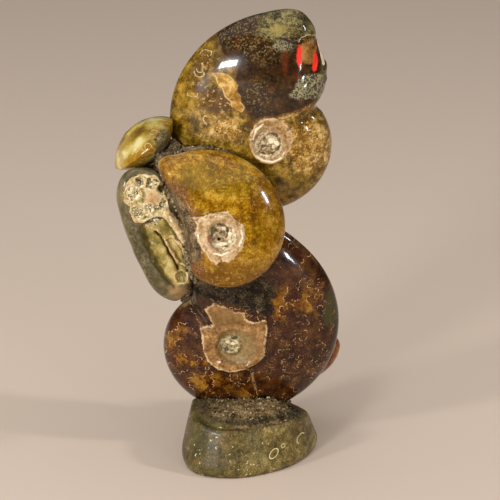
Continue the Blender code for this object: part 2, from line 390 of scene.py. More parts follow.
def pearl(paint, where, codes, core_codes):
    """Cream shell left round an umbilicus: veined, with growth lines, dark seams and a glittering middle, painted
    shade and highlights.
    """
    x, y, _ = paint.parts(paint.warped(where, 0.5, 0.35))
    rays = (y.maths("ARCTAN2", x) * RAYS_PER_TURN).maths("SINE")
    uneven = paint.waver(where, 1.6, 3.0, 0.7)
    tint = paint.speckle(where, 0.5, 3.0, 0.6) * 0.8 + uneven * 0.9 + 0.1
    colour = paint.ramp(tint + rays * 0.03, *codes)
    across = abs(paint.field("phase") - 0.5) * 2 + uneven * 0.5
    # The bowl and the grain darken towards the seams between whorls: painted shade on the whorls' relief.
    bowl = paint.ramp(0.48 - across * 0.3 + uneven * 0.6, *core_codes)
    colour = paint.mix(paint.field("bowl") * 0.6, colour, bowl)
    grain = paint.speckle(paint.warped(where, 2.0, 0.25), 1.2, 4.0, 0.75) * 1.9 - 0.28 - across * 0.3
    colour = paint.mix(paint.field("core") * 0.9, colour, paint.ramp(grain, *core_codes))
    colour = paint.mix(across.ease(0.85, 1.05) * 0.55, colour, "#4A4228")
    furrow = paint.field("furrow") + uneven * 0.5
    colour = paint.mix((1 - furrow.ease(0.05, 0.3)) * 0.75, colour, "#4A4028")
    colour = paint.mix(paint.area("hollow", uneven * 1.1, 0.35, 0.8) * 0.85, colour, "#34331F")
    colour = paint.mix(paint.area("rusty", uneven * 1.2, 0.3, 0.8) * 0.7, colour, "#94562E")
    # The pale field holds cream spots and painted highlights (glints) on the shell.
    return paint.mix(paint.area("pale", uneven * 1.2, 0.3, 0.9) * 0.9, colour, "#FAEBCB")


def with_pearl(paint, where, colour, codes, core_codes=GREEN_CORE, ragged=0.9, rim="#E0C08E"):
    """Lays the umbilicus's shell over a colour; returns it with the share of shell."""
    distance = paint.field("nacre") + paint.waver(where, 1.2, 4.0, 0.75) * ragged * 1.6
    share = distance.ease(-0.08, 0.1)
    edge = (1 - abs(distance - 0.2).ease(0.05, 0.4)) * paint.speckle(where, 0.8).ease(0.3, 0.55) * 0.8
    shell = paint.mix(edge, pearl(paint, where, codes, core_codes), rim)
    return paint.mix(share, colour, shell), share


def gritty(paint, where, colour, zone, codes=("#0E0A06", "#231A10", "#5E5036")):
    """Sand that still clings where the polishing didn't reach; returns the colour with the share of sand."""
    share = (zone + paint.waver(where, 1.3, 4.0, 0.7) * 1.3).ease(0.34, 0.62)
    sand = 0.5 + paint.waver(where, 2.8, 3.0, 0.7) * 1.1 + paint.waver(where, 0.5) * 0.7
    return paint.mix(share, colour, paint.ramp(sand, *codes)), share


def dark_lines(paint, colour):
    """Furrows drawn on the shell, dark at the bottom."""
    return paint.mix((1 - paint.field("furrow").ease(0.1, 0.32)) * 0.85, colour, "#20160A")


def polish(paint, where, colour, shell, sand):
    """A wet-looking polish, glittering in the umbilicus, dull where it is matte and gone on the sand."""
    core = paint.field("core") * shell
    height = paint.speckle(where, 2.2, 3.0) * (shell * 0.25 + core * 0.9 + sand * 0.9 + 0.01)
    matte = paint.field("matte")
    return paint.finish(
        Base_Color=colour, Roughness=0.2 + shell * 0.12 + sand * 0.6 + matte * 0.4,
        Coat_Weight=(1 - shell * 0.3 - sand * 0.9) * (1 - matte), Normal=paint.bump(height, 0.25),
    )


def paint_lower():
    paint = Paint("brown_calcite_shell", **SHELL_POLISH)
    where = paint.place()
    glow = (paint.field("amber") * 1.2 + paint.waver(where, 0.4, 3.0) * 1.4).ease(0.0, 1.2)
    codes = ("#1A0C04", "#2E1808", "#40240E", "#523014", "#6A4622")
    body = cloudy_calcite(paint, where, codes, 0.5, 0.8, 0.8)
    codes = ("#281002", "#4C2702", "#6A3C04", "#82540C", "#A07422")
    amber = cloudy_calcite(paint, where, codes, 0.5, 1.0, 0.8)
    inside, line = scallops(paint, where, 0.24, 1.05, 0.5)
    colour = paint.mix(glow, body, amber)
    colour = paint.mix(inside * (0.3 + glow * 0.5), colour, "#340E04")
    some = paint.speckle(where, 0.3, 1.0).ease(0.4, 0.54) * 0.8 + paint.field("amber") * 0.4
    colour = paint.mix(line * some.at_most(1.0), colour, "#DCB27C")
    inside, line = scallops(paint, paint.moved(where, (31, 17, 0)), 0.3, 1.4, 0.54)
    colour = paint.mix(inside * 0.25, colour, "#2A1006")
    colour = paint.mix(line * paint.field("grey").at_least(0.25) * 0.7, colour, "#B8905E")
    green = paint.area("green", paint.waver(where, 0.8, 3.0) * 1.2, 0.3, 0.9)
    colour = paint.mix(green * 0.65, colour, "#46421E")
    colour = paint.mix(paint.field("beige").ease(0.3, 0.55) * 0.95, colour, "#86704C")
    crack = paint.field("crack") * paint.flakes(where, 1.2, 0.45)
    colour = paint.mix(crack * 0.6, colour, "#A88658")
    colour = dark_lines(paint, colour)
    colour, shell = with_pearl(paint, where, colour, ("#5A3C1C", "#825C32", "#A07646", "#C49C68"), ragged=0.8)
    colour = paint.mix(paint.field("flap") * shell * 0.6, colour, "#74562E")
    colour, sand = gritty(paint, where, colour, paint.field("dirt") * (1 - shell))
    return polish(paint, where, colour, shell, sand)


def paint_middle():
    paint = Paint("honey_calcite_shell", **SHELL_POLISH)
    where = paint.place()
    codes = ("#5C3804", "#764C04", "#8E6206", "#A4760E", "#C29838")
    colour = cloudy_calcite(paint, where, codes, 0.6, 0.9, 1.0)
    olive = paint.area("olive", paint.waver(where, 0.5, 3.0) * 1.6, 0.2, 0.9)
    colour = paint.mix(olive * 0.5, colour, "#705C04")
    colour = paint.mix(paint.field("amber") * 0.7, colour, "#6A4202")
    _, line = scallops(paint, where, 0.3, 0.75, 0.52)
    colour = paint.mix(line * 0.4 * paint.speckle(where, 0.5).ease(0.4, 0.6), colour, "#CCA448")
    flecks = paint.flakes(where, 1.1, 0.57) * paint.speckle(where, 0.3).ease(0.35, 0.55)
    colour = paint.mix(flecks * 0.4, colour, "#D4B058")
    maroon = paint.area("maroon", paint.waver(where, 0.8, 4.0, 0.7) * 1.4, 0.2, 1.0)
    wine = paint.ramp(paint.speckle(where, 2.3, 4.0, 0.75), "#331608", "#6A4224", "#A8886A")
    colour = paint.mix(maroon * 0.8, colour, wine)
    codes = ("#86643C", "#AC8A5E", "#CAAA80", "#E6D0AC")
    colour, shell = with_pearl(paint, where, colour, codes, TAN_CORE, 1.0, "#DCBE90")
    sand_codes = ("#30261A", "#665238", "#A08A66")
    colour, sand = gritty(paint, where, colour, paint.field("dirt") * (1 - shell), sand_codes)
    # A painted highlight along the rolled top rim, over its thin cream edge.
    colour = paint.mix(paint.field("lip") * 0.85, colour, "#C8A47C")
    dull = (maroon * (1 - shell) * 1.4).at_most(1.0)
    return polish(paint, where, colour, shell, sand.at_least(dull))


def paint_upper():
    # Emission makes the painted red reflection glow.
    paint = Paint("olive_calcite_shell", Emission_Strength=1.0, **SHELL_POLISH)
    where = paint.place()
    codes = ("#3C2E06", "#583F08", "#70540C", "#86681A", "#A88236")
    colour = cloudy_calcite(paint, where, codes, 0.6, 1.0, 0.7)
    pink = paint.area("cream", paint.waver(where, 0.6, 3.0) * 1.4, 0.2, 1.0)
    pale = cloudy_calcite(paint, where, ("#7A5418", "#A67828", "#CA9E4E", "#E8C88E"), 0.7, 1.0, 0.7)
    colour = paint.mix(pink * 0.8, colour, pale)
    brown = paint.area("brown", paint.waver(where, 0.9, 3.0) * 1.8, 0.2, 0.8)
    colour = paint.mix(brown * 0.7, colour, "#56340A")
    busy = (paint.field("brown").at_least(paint.field("cream") * 0.8) + 0.12).at_most(1.0)
    colour = paint.mix(paint.threads(paint.warped(where, 1.0, 0.3), 0.8, 0.035) * busy, colour, "#442806")
    colour = paint.mix(paint.flakes(where, 0.8, 0.57) * busy * 0.5, colour, "#D0AE70")
    colour = paint.mix(paint.flakes(where, 1.6, 0.62) * busy * 0.7, colour, "#E4CC98")
    front = paint.parts(where)[2].ease(-0.5, 0.5)
    x, y, _ = paint.parts(paint.warped(where, 1.2, 0.3))
    for arc in UPPER_ARCS:
        colour = paint.mix(ring_mark(x, y, *arc) * front * 0.6, colour, "#E2C68E")

    ragged = paint.waver(where, 1.0, 4.0, 0.65) * 1.5
    border = paint.field("chamber") + ragged
    colour = paint.mix(border.ease(-1.6, 0.1) * 0.7, colour, "#4E3010")
    dark = paint.ramp(paint.speckle(where, 0.5, 4.0, 0.65), "#170B04", "#321E0A", "#523A18")
    dark = paint.mix(paint.speckle(where, 0.25).ease(0.5, 0.75) * 0.5, dark, "#4C220C")
    fine = paint.flakes(where, 2.0, 0.55) * (paint.field("specks") * 1.5 + 0.05).at_most(1.0)
    dark = paint.mix(fine * 0.65, dark, "#8A7848")
    dark = paint.mix(paint.flakes(where, 1.7, 0.66) * 0.7, dark, "#94845C")
    colour = paint.mix(border.ease(0.0, 0.35), colour, dark)

    edge = paint.field("strip") + ragged * 0.35
    honey = cloudy_calcite(paint, where, ("#6A440C", "#94681C", "#B08434", "#D0AA64"), 0.8)
    some = paint.speckle(where, 0.35).ease(0.42, 0.6)
    honey = paint.mix((1 - edge.ease(0.1, 0.5)) * some * 0.7, honey, "#E4CA94")
    colour = paint.mix(edge.ease(0.0, 0.2), colour, honey)
    leaves = paint.threads(paint.warped(where, 1.6, 0.3), 1.2, 0.07).at_least(paint.flakes(where, 2.2, 0.6))
    frost = paint.area("frost", ragged * 0.4, 0.3, 0.7)
    colour = paint.mix(frost * 0.5, colour, "#54503A")
    colour = paint.mix(frost * leaves * 0.8, colour, "#A49C78")
    ochre = cloudy_calcite(paint, where, ("#4A2C0C", "#744A1C", "#8C5E2A", "#A87C44"), 0.8)
    colour = paint.mix(paint.area("ochre", ragged * 0.3, 0.3, 0.65), colour, ochre)

    codes = ("#201B08", "#403A1C", "#584C2A", "#6C5E34", "#8C8052")
    green = cloudy_calcite(paint, where, codes, 0.8, 1.1, 1.2)
    green = paint.mix(paint.area("crust", ragged * 1.1, 0.4, 0.9) * 0.6, green, "#9C8844")
    matrix = paint.area("matrix", ragged * 0.5, 0.35, 0.65)
    lichen = paint.area("matrix", ragged * 0.3, 0.0, 0.3) * paint.flakes(where, 1.3, 0.49)
    colour = paint.mix(matrix.at_least(lichen * 0.8), colour, green)

    colour = paint.mix(paint.field("faint") * 0.6, colour, "#66280E")
    # A painted red iridescent reflection, made to glow through emission.
    flash = paint.area("flash", ragged * 0.45, 0.2, 0.75)
    colour = paint.mix(flash, colour, "#F0382A")
    # A painted highlight along the broken right edge.
    colour = paint.mix(paint.area("sliver", ragged * 0.2, 0.3, 0.6), colour, "#F4D8B8")
    colour = paint.mix(ring_mark(x, y, *UPPER_LIP) * front * 0.7, colour, "#D8BC90")
    colour = dark_lines(paint, colour)
    codes = ("#705028", "#9C784A", "#BC986A", "#DEC298")
    colour, shell = with_pearl(paint, where, colour, codes, TAN_CORE, 0.8, "#D2B284")
    sand_codes = ("#20201A", "#4A4636", "#8C8468")
    colour, sand = gritty(paint, where, colour, paint.field("dirt"), sand_codes)
    paint.finish(Emission_Color=paint.mix(flash, "#000000", "#3A0603"))
    return polish(paint, where, colour, shell, sand.at_least(matrix * 0.45))


def paint_side():
    paint = Paint("grey_calcite_shell", **SHELL_POLISH)
    where = paint.place()
    codes = ("#38301A", "#50482C", "#665A3C", "#7A6C4A", "#968860")
    colour = cloudy_calcite(paint, where, codes, 0.5, 0.6, 0.6)
    spotted = paint.field("spotted") * paint.flakes(where, 1.4, 0.46)
    colour = paint.mix(spotted * 0.7, colour, "#34311E")
    codes = ("#5E5220", "#807034", "#9C8644", "#B09A56", "#D0BA80")
    honey = cloudy_calcite(paint, where, codes, 0.4, 0.8, 0.5)
    colour = paint.mix(paint.field("honey"), colour, honey)
    colour = paint.mix(paint.field("shadow") * 0.5, colour, "#3C3820")
    uneven = paint.waver(where, 1.5, 4.0, 0.7)
    lobes = paint.speckle(paint.warped(where, 1.0, 0.5), 0.7, 4.0, 0.7) * 2.0 - 0.45
    lobes = paint.ramp(lobes, "#5C5230", "#96864E", "#C8B482", "#F2E4BE")
    colour = paint.mix(paint.area("lobes", uneven * 0.5, 0.3, 0.6), colour, lobes)
    colour = paint.mix(paint.area("pink", uneven * 0.8, 0.1, 1.0) * 0.7, colour, "#BE8C5C")
    # The cream walls carry a painted highlight streak too.
    cream = paint.area("cream", uneven * 0.9, 0.35, 0.65)
    tint = paint.speckle(where, 0.9, 4.0, 0.7) * 1.3 - 0.15
    colour = paint.mix(cream, colour, paint.ramp(tint, "#86693C", "#B89A64", "#D8BE8E", "#F6E4BC"))
    colour = paint.mix(paint.area("dark", uneven * 0.6, 0.25, 0.9) * 0.9, colour, "#34200F")
    crystal = paint.field("grain")
    clear = paint.ramp(crystal, "#62542F", "#A08E5E", "#CEBC8E", "#FAF2DA")
    colour = paint.mix(crystal.ease(0.0, 0.04), colour, clear)
    height = paint.speckle(where, 2.0, 3.0) * (cream * 0.5 + paint.field("dark") * 0.4 + 0.015)
    return paint.finish(
        Base_Color=colour, Roughness=0.22 + cream * 0.12, Coat_Weight=0.95 - cream * 0.3,
        Normal=paint.bump(height, 0.2),
    )


def paint_plain_calcite(name, codes, patch_code, line_code):
    paint = Paint(name, **SHELL_POLISH)
    where = paint.place()
    colour = cloudy_calcite(paint, where, codes, 0.22, 0.8, 0.15)
    inside, line = scallops(paint, where, 0.13, 0.6, 0.55)
    colour = paint.mix(inside * 0.5, colour, patch_code)
    colour = paint.mix(line * 0.55, colour, line_code)
    colour, shell = with_pearl(paint, where, colour, ("#6A4A28", "#8C6436", "#A87E4C", "#C8A674"))
    colour, sand = gritty(paint, where, colour, paint.field("dirt"), ("#2A2416", "#5C5036", "#94865E"))
    return polish(paint, where, colour, shell, sand)


def ring_mark(x, y, centre, half_sizes, lean, opening):
    """A thin oval line cut through by the polishing, open towards a direction in degrees or, with None, closed."""
    across, up = x - centre[0], y - centre[1]
    turned = across * math.cos(lean) + up * math.sin(lean)
    raised = up * math.cos(lean) - across * math.sin(lean)
    away = ((turned / half_sizes[0]) ** 2.0 + (raised / half_sizes[1]) ** 2.0) ** 0.5
    ring = 1 - (abs(away - 1) * half_sizes[0]).ease(0.05, 0.18)
    if opening is None:
        return ring
    towards = across * math.cos(math.radians(opening)) + up * math.sin(math.radians(opening))
    return ring * (1 - towards.ease(0.07, 0.35))


def paint_stone():
    paint = Paint("olive_sandstone", Specular_IOR_Level=0.25, Coat_Roughness=0.2, Coat_IOR=1.35)
    where = paint.moved(paint.add("ShaderNodeTexCoord").outputs["Object"], scale=(1000, 1000, 1000))
    x, y, z = paint.parts(where)
    sanded = paint.field("rough")
    codes = ("#2E2610", "#51441E", "#6C5A2C", "#806E3A", "#A8945C")
    ground = cloudy_calcite(paint, where, codes, 0.6, 0.75, 1.3)
    left = 1 - x.ease(-12.0, 9.0)
    # Painted shade: the stone darkens towards its left side.
    ground = paint.mix((left - 0.15) * 0.65, ground, "#3A3014")
    ground = paint.mix((paint.speckle(where, 0.16, 3.0) + left * 0.12).ease(0.5, 0.68) * 0.3, ground, "#3C4426")
    ground = paint.mix(paint.speckle(where, 0.3, 3.0).ease(0.5, 0.7) * 0.4, ground, "#6E4A1C")
    ground = paint.mix(paint.flakes(where, 1.7, 0.63) * 0.5, ground, "#B4A674")
    specks = paint.dots(paint.warped(where, 1.2, 0.6), 0.5, 0.14)
    ground = paint.mix(specks * 0.8, ground, "#D8C890")
    front = 1 - y.ease(-6.0, -3.0)
    for centre, half_sizes, lean, opening, strength in FOOT_RINGS:
        ring = ring_mark(x, z, centre, half_sizes, lean, opening)
        ground = paint.mix(ring * front * strength, ground, "#E6D69E")
    sand = paint.speckle(where, 1.8, 4.0, 0.75) * 1.3 - 0.15 + paint.waver(where, 0.35) * 0.6
    brown = paint.ramp(sand, "#261C0E", "#66502E", "#8E744A", "#B69E74")
    grey = paint.ramp(sand, "#241C10", "#5A4A32", "#7E6A4A", "#A89068")
    rugged = paint.mix(paint.field("high"), brown, grey)
    grain = paint.field("grain")
    loose = paint.ramp(grain, "#261E10", "#64543A", "#8C7C60", "#B4A688")
    rugged = paint.mix(grain.ease(0.0, 0.04), rugged, loose)
    rugged = paint.mix(paint.field("shade") * 0.7, rugged, "#18140A")
    # Painted shade and dark grit under the middle shell.
    rugged = paint.mix(paint.field("sooty") * 0.8, rugged, "#1A1008")
    colour = paint.mix(sanded, ground, rugged)
    height = paint.speckle(where, 2.4, 3.0, 0.65) * (0.06 + sanded * 0.94)
    return paint.finish(
        Base_Color=colour, Roughness=0.45 + sanded * 0.5, Coat_Weight=0.24 - sanded * 0.24,
        Normal=paint.bump(height, 0.3),
    )


# Geometry node trees


def new_tree(name, numbers, whole_numbers=()):
    """An empty tree with geometry in and out and its named inputs; returns the graph and the input node."""
    tree = bpy.data.node_groups.new(name, "GeometryNodeTree")
    socket = tree.interface.new_socket
    socket(name="Geometry", in_out="INPUT", socket_type="NodeSocketGeometry")
    socket(name="Geometry", in_out="OUTPUT", socket_type="NodeSocketGeometry")
    for number in numbers:
        socket(name=number, in_out="INPUT", socket_type="NodeSocketFloat")
    for number in whole_numbers:
        socket(name=number, in_out="INPUT", socket_type="NodeSocketInt")
    socket(name="Finish", in_out="INPUT", socket_type="NodeSocketMaterial")
    return Graph(tree), tree.nodes.new("NodeGroupInput")


def end_tree(graph, given, geometry):
    """Ends a tree in real geometry with its material."""
    whole = graph.add("GeometryNodeRealizeInstances", {}, {"Geometry": geometry})
    finish = given.outputs["Finish"]
    painted = graph.add("GeometryNodeSetMaterial", {}, {"Geometry": whole.outputs[0], "Material": finish})
    graph.tree.links.new(painted.outputs[0], graph.tree.nodes.new("NodeGroupOutput").inputs[0])
    return graph.tree


def carried(graph, name):
    """A number that the incoming mesh carries."""
    return graph.amount("GeometryNodeInputNamedAttribute", {"data_type": "FLOAT"}, {"Name": name}, "Attribute")


def distance_ease(value, low, high):
    """Smooth step between two edges that may be numbers inside the tree."""
    t = ((value - low) / (high - low)).at_least(0.0).at_most(1.0)
    return t * t * (3 - 2 * t)


def shell_tree():
    """Turns a flat round grid into a coiled shell, by the rule that it grew by."""
    numbers = (
        "Half thickness", "Edge", "Umbilicus", "Dip", "Seam start", "Growth", "Whorl relief", "Step height",
    )
    graph, given = new_tree("coiled_shell", numbers)
    half_thickness, edge, umbilicus, dip, seam_start, growth, whorl_relief, step_height = [
        Amount(graph, given.outputs[name]) for name in numbers
    ]
    turn, share, side, rim, fullness, seam, fade, unwound, extra = [
        carried(graph, name)
        for name in ("turn", "share", "side", "rim", "fullness", "seam", "fade", "unwound", "extra")
    ]
    front = side.at_least(0.0)
    distance = share * rim
    flank = (1 - share**fullness).at_least(0.0) ** edge * half_thickness
    pit = 1 - distance_ease(distance, umbilicus * 0.35, umbilicus * 1.1)

    whorls = (distance.at_least(0.05) / seam_start).maths("LOGARITHM", growth) - unwound / 360
    inside = whorls.maths("LESS_THAN", 0.0) * distance_ease(360 - unwound, 0.0, 25.0)
    phase = whorls - whorls.maths("FLOOR")
    crown = (phase * (1 - phase) * 4).at_least(0.0) ** 0.55
    ribs = 1 + (turn * (math.pi / 180 * RIBS_PER_TURN)).maths("SINE") * 0.1
    relief = crown * ribs * whorl_relief * inside * (distance / umbilicus).at_most(1.0) ** 0.6

    step = step_height * fade * distance_ease(distance, seam - 0.35, seam + 0.75) * (1 - share**3.0)
    height = (flank - dip * pit + relief + (step + extra) * front) * side
    radians = turn * (math.pi / 180)
    place = graph.add(
        "ShaderNodeCombineXYZ", {},
        {
            0: distance * radians.maths("COSINE"), 1: distance * radians.maths("SINE"),
            2: height * share.maths("LESS_THAN", ON_RIM),
        },
    )
    stored = graph.add(
        "GeometryNodeStoreNamedAttribute", {"data_type": "FLOAT", "domain": "POINT"},
        {"Geometry": given.outputs["Geometry"], "Name": "phase", "Value": 0.5 + (phase - 0.5) * inside},
    )
    sockets = {"Geometry": stored.outputs[0], "Position": place.outputs[0]}
    moved = graph.add("GeometryNodeSetPosition", {}, sockets)
    return end_tree(graph, given, moved.outputs[0])


def scatter_tree(name, grain_kind, grain_sockets):
    """Strews small grains over a mesh, where it carries a share from 0 to 1 called scatter."""
    numbers = ("Density", "Smallest", "Largest")
    graph, given = new_tree(name, numbers, ("Seed",))
    density, smallest, largest = [Amount(graph, given.outputs[number]) for number in numbers]
    geometry = given.outputs["Geometry"]
    points = graph.add(
        "GeometryNodeDistributePointsOnFaces", {"distribute_method": "RANDOM"},
        {"Mesh": geometry, "Density": density * carried(graph, "scatter"), "Seed": given.outputs["Seed"]},
    )
    grain = graph.add(grain_kind, {}, grain_sockets)
    full_turn = (2 * math.pi,) * 3
    turns = graph.add(
        "FunctionNodeRandomValue", {"data_type": "FLOAT_VECTOR"}, {0: (0, 0, 0), 1: full_turn, "Seed": 3}
    )
    sizes = graph.add("FunctionNodeRandomValue", {"data_type": "FLOAT"}, {2: smallest, 3: largest, "Seed": 5})
    placed = graph.add(
        "GeometryNodeInstanceOnPoints", {},
        {
            "Points": points.outputs[0], "Instance": grain.outputs[0], "Rotation": turns.outputs[0],
            "Scale": sizes.outputs[1],
        },
    )
    shade = graph.add("FunctionNodeRandomValue", {"data_type": "FLOAT"}, {2: 0.05, 3: 1.0, "Seed": 9})
    shaded = graph.add(
        "GeometryNodeStoreNamedAttribute", {"data_type": "FLOAT", "domain": "INSTANCE"},
        {"Geometry": placed.outputs[0], "Name": "grain", "Value": shade.outputs[1]},
    )
    joined = graph.add("GeometryNodeJoinGeometry", {}, {"Geometry": geometry})
    graph.tree.links.new(shaded.outputs[0], joined.inputs[0])
    return end_tree(graph, given, joined.outputs[0])


def with_tree(obj, tree, finished_name, **values):
    """Runs a tree on an object, its inputs set by their identifiers, and returns the result as a plain mesh."""
    modifier = obj.modifiers.new(tree.name, "NODES")
    modifier.node_group = tree
    identifiers = {item.name: item.identifier for item in tree.interface.items_tree if item.in_out == "INPUT"}
    for name, value in values.items():
        modifier[identifiers[name.replace("_", " ")]] = value
    return applied(obj, finished_name)


def applied(obj, name):
    """The evaluated object as a plain mesh, in an object of its own at the origin."""
    graph = bpy.context.evaluated_depsgraph_get()
    data = bpy.data.meshes.new_from_object(obj.evaluated_get(graph))
    bpy.data.objects.remove(obj)
    data.name = name
    return add_object(name, data)


def add_object(name, mesh):
    obj = bpy.data.objects.new(name, mesh)
    bpy.context.scene.collection.objects.link(obj)
    return obj


def write_field(mesh, name, values, kind="FLOAT"):
    attribute = mesh.attributes.get(name) or mesh.attributes.new(name, kind, "POINT")
    key = "vector" if kind == "FLOAT_VECTOR" else "value"
    attribute.data.foreach_set(key, np.ascontiguousarray(values, np.float32).ravel())


def points_of(mesh, key="co"):
    flat = np.empty(len(mesh.vertices) * 3, np.float32)
    mesh.vertices.foreach_get(key, flat)
    return flat.reshape(-1, 3).astype(float)


# Coiled shells


def round_grid(segments, front, back):
    """A closed grid of points round the axis: out along the front to the rim, and back behind it to the axis."""
    rows = [(share, 1.0) for share in front] + [(1.0, 0.0)] + [(share, -1.0) for share in reversed(back)]
    turn = np.tile(np.arange(segments) * 360 / segments, len(rows))
    share = np.repeat([row[0] for row in rows], segments)
    side = np.repeat([row[1] for row in rows], segments)
    poles = len(turn)
    faces = []
    for row in range(len(rows) - 1):
        for k in range(segments):
            after = (k + 1) % segments
            here = row * segments
            faces.append((here + k, here + segments + k, here + segments + after, here + after))
    last = (len(rows) - 1) * segments
    for k in range(segments):
        after = (k + 1) % segments
        faces.append((poles, k, after))
        faces.append((poles + 1, last + after, last + k))
    return np.append(turn, (0, 0)), np.append(share, (0, 0)), np.append(side, (1.0, -1.0)), faces


def ring_shares(umbilicus, rim, rings):
    """Evenly spaced rings across the umbilicus, then ever closer ones towards the rim."""
    inner = 1.25 * umbilicus / rim
    pit = inner * (np.arange(rings[0]) + 1) / rings[0]
    t = (np.arange(rings[1]) + 1) / (rings[1] + 1)
    return list(pit) + list(inner + (1 - inner) * np.sin(t * math.pi / 2))


class Shell:
    """One coiled shell of the cluster, with the outline and the place that its solid has."""

    def __init__(self, name, centre, yaw, pitch, coil, radius, whole, worn, half_thickness, umbilicus, **more):
        self.name = name
        self.centre = Vector(centre)
        self.turned = Euler((math.radians(90 - pitch), 0, math.radians(yaw))).to_matrix()
        self.coil = coil
        first, last = whole
        steps = max(2, round((last - first) / 15))
        kept = [first + (last - first) * k / steps for k in range(steps + 1)]
        self.rim = [(angle, radius * GROWTH ** (coil * angle / 360)) for angle in kept] + list(worn)
        self.half_thickness = half_thickness
        self.umbilicus = umbilicus
        self.dip = more.get("dip", 1.3)
        self.fullness = more.get("fullness", 2.4)
        self.edge = more.get("edge", 0.5)
        self.blunt = more.get("blunt")
        self.step = more.get("step")
        self.seam = more["seam"]  # where the last whorl ends: its direction, and the umbilical seam's radius
        self.whorl_relief = more.get("whorl_relief", 0.8)
        self.segments = more.get("segments", SEGMENTS)
        self.rings = more.get("rings", (FRONT_RINGS, BACK_RINGS))
        self.chips = more.get("chips", ())
        self.bowl = more.get("bowl")  # the sunken middle of the umbilicus: place, radius and depth
        self.core = more.get("core", ((0, 0), 0.6 * umbilicus))  # the part of it that glitters
        self.relief = more.get("relief", lambda x, y: np.zeros(x.shape))

    def placed(self):
        """From the shell's own millimetres to the cluster's metres."""
        return Matrix.Translation(self.centre * MM) @ self.turned.to_4x4() @ Matrix.Scale(MM, 4)

    def outline(self, turn):
        """The rim's distance from the axis, with the small chips that were knocked out of it."""
        rim = smooth_closed(self.rim, turn)
        for direction, half_width, depth in self.chips:
            away = np.abs((turn - direction + 180) % 360 - 180)
            rim = rim - depth * (1 - ease(0.25 * half_width, half_width, away))
        return rim

    def covers(self, points, margin):
        """Which of some points of the cluster, in millimetres, lie under the shell's skin."""
        local = (points - np.array(self.centre)) @ np.array(self.turned)
        distance = np.hypot(local[:, 0], local[:, 1])
        share = distance / smooth_closed(self.rim, np.degrees(np.arctan2(local[:, 1], local[:, 0])))
        height = self.half_thickness * np.clip(1 - share**self.fullness, 0, None) ** self.edge
        return (share < 1) & (np.abs(local[:, 2]) < height + margin)

    def growth(self, turn, share):
        """What the tree needs to know at each point of the grid."""
        fullness = np.full(turn.shape, self.fullness)
        if self.blunt:
            middle, width, sharpness = self.blunt
            away = np.abs((turn - middle + 180) % 360 - 180)
            fullness += (sharpness - fullness) * (1 - ease(width * 0.5, width, away))
        seam = np.full(turn.shape, NO_SEAM)
        fade = np.zeros(turn.shape)
        if self.step:
            points = self.step[1]
            start, end = points[0][0], points[-1][0]
            inside = (turn - start) % 360
            seam = smooth_closed(points, start + inside)
            fade = np.where(inside > end - start, 0, ease(0, 25, inside) * ease(0, 75, end - start - inside))
        rim = self.outline(turn)
        x = share * rim * np.cos(np.radians(turn))
        y = share * rim * np.sin(np.radians(turn))
        unwound = self.coil * (turn - self.seam[0]) % 360
        extra = self.relief(x, y)
        if self.bowl:
            middle, radius, depth = self.bowl
            away = np.hypot(x - middle[0], y - middle[1]) - radius
            extra += 0.22 * (1 - ease(0.1, 0.8, np.abs(away - 0.4))) - depth * (1 - ease(-0.4, 0.1, away))
        return {
            "turn": turn, "share": share, "rim": rim, "fullness": fullness, "seam": seam, "fade": fade,
            "unwound": unwound, "extra": extra,
        }

    def build(self, tree, finish):
        smallest = min(value for _, value in self.rim)
        shares = [ring_shares(self.umbilicus, smallest, rings) for rings in self.rings]
        turn, share, side, faces = round_grid(self.segments, *shares)
        mesh = bpy.data.meshes.new(self.name + "_grid")
        mesh.from_pydata(np.zeros((len(turn), 3)).tolist(), [], faces)
        write_field(mesh, "side", side)
        for name, values in self.growth(turn, share).items():
            write_field(mesh, name, values)
        return with_tree(
            add_object(self.name + "_grid", mesh), tree, self.name + "_polished",
            Half_thickness=self.half_thickness, Edge=self.edge, Umbilicus=self.umbilicus, Dip=self.dip,
            Seam_start=self.seam[1], Growth=GROWTH, Whorl_relief=self.whorl_relief,
            Step_height=self.step[0] if self.step else 0.0, Finish=finish,
        )

    def finish(self, obj, fields):
        """Writes the pattern fields on the shell, puts it in place and lets it stand for its solid."""
        mesh = obj.data
        write_field(mesh, "flat", points_of(mesh), "FLOAT_VECTOR")
        for name, values in fields.items():
            write_field(mesh, name, values)
        mesh.transform(self.placed())
        correct_normals(mesh)
        mesh.shade_smooth()
        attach(obj, "root")
        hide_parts(self.name)
        return obj

    def umbilicus_fields(
        self, x, y, front, outline, furrows=(), hollows=(), pale=(), glints=(), rusty=(), matte=()
    ):
        """The fields of the cream shell about the umbilicus, plainer on the back, its painted highlights, and the dull
        spots.
        """
        behind = self.umbilicus * 1.15 - np.hypot(x, y)
        furrow = np.full(x.shape, FAR)
        if furrows:
            furrow = np.minimum.reduce([line_distance(x, y, line) for line in furrows])
        # Pale spots are cream shell and painted highlights; glints are painted highlight lines.
        cream_and_glints = patches(x, y, pale)
        for line in glints:
            cream_and_glints = np.maximum(cream_and_glints, 1 - ease(0.1, 0.35, line_distance(x, y, line)))
        bowl = np.zeros(x.shape)
        if self.bowl:
            middle, radius, _ = self.bowl
            bowl = 1 - ease(radius - 0.6, radius, np.hypot(x - middle[0], y - middle[1]))
        middle, radius = self.core
        away = np.hypot(x - middle[0], y - middle[1])
        return {
            "nacre": np.where(front > 0.5, polygon_distance(x, y, outline) if outline else OUTSIDE, behind),
            "bowl": bowl * front,
            "core": 1 - ease(0.8 * radius, 1.1 * radius, away),
            "furrow": np.where(front > 0.5, furrow, FAR),
            "hollow": patches(x, y, hollows) * front,
            "pale": cream_and_glints * front,
            "rusty": patches(x, y, rusty) * front,
            "matte": patches(x, y, matte) * front,
        }


def correct_normals(mesh):
    work = bmesh.new()
    work.from_mesh(mesh)
    bmesh.ops.recalc_face_normals(work, faces=work.faces)
    work.to_mesh(mesh)
    work.free()


def drawn_on(flat):
    """Where flat places lie across and up, and 1 on the face that shows."""
    return flat[:, 0], flat[:, 1], ease(-0.5, 0.5, flat[:, 2])


# The lowest shell

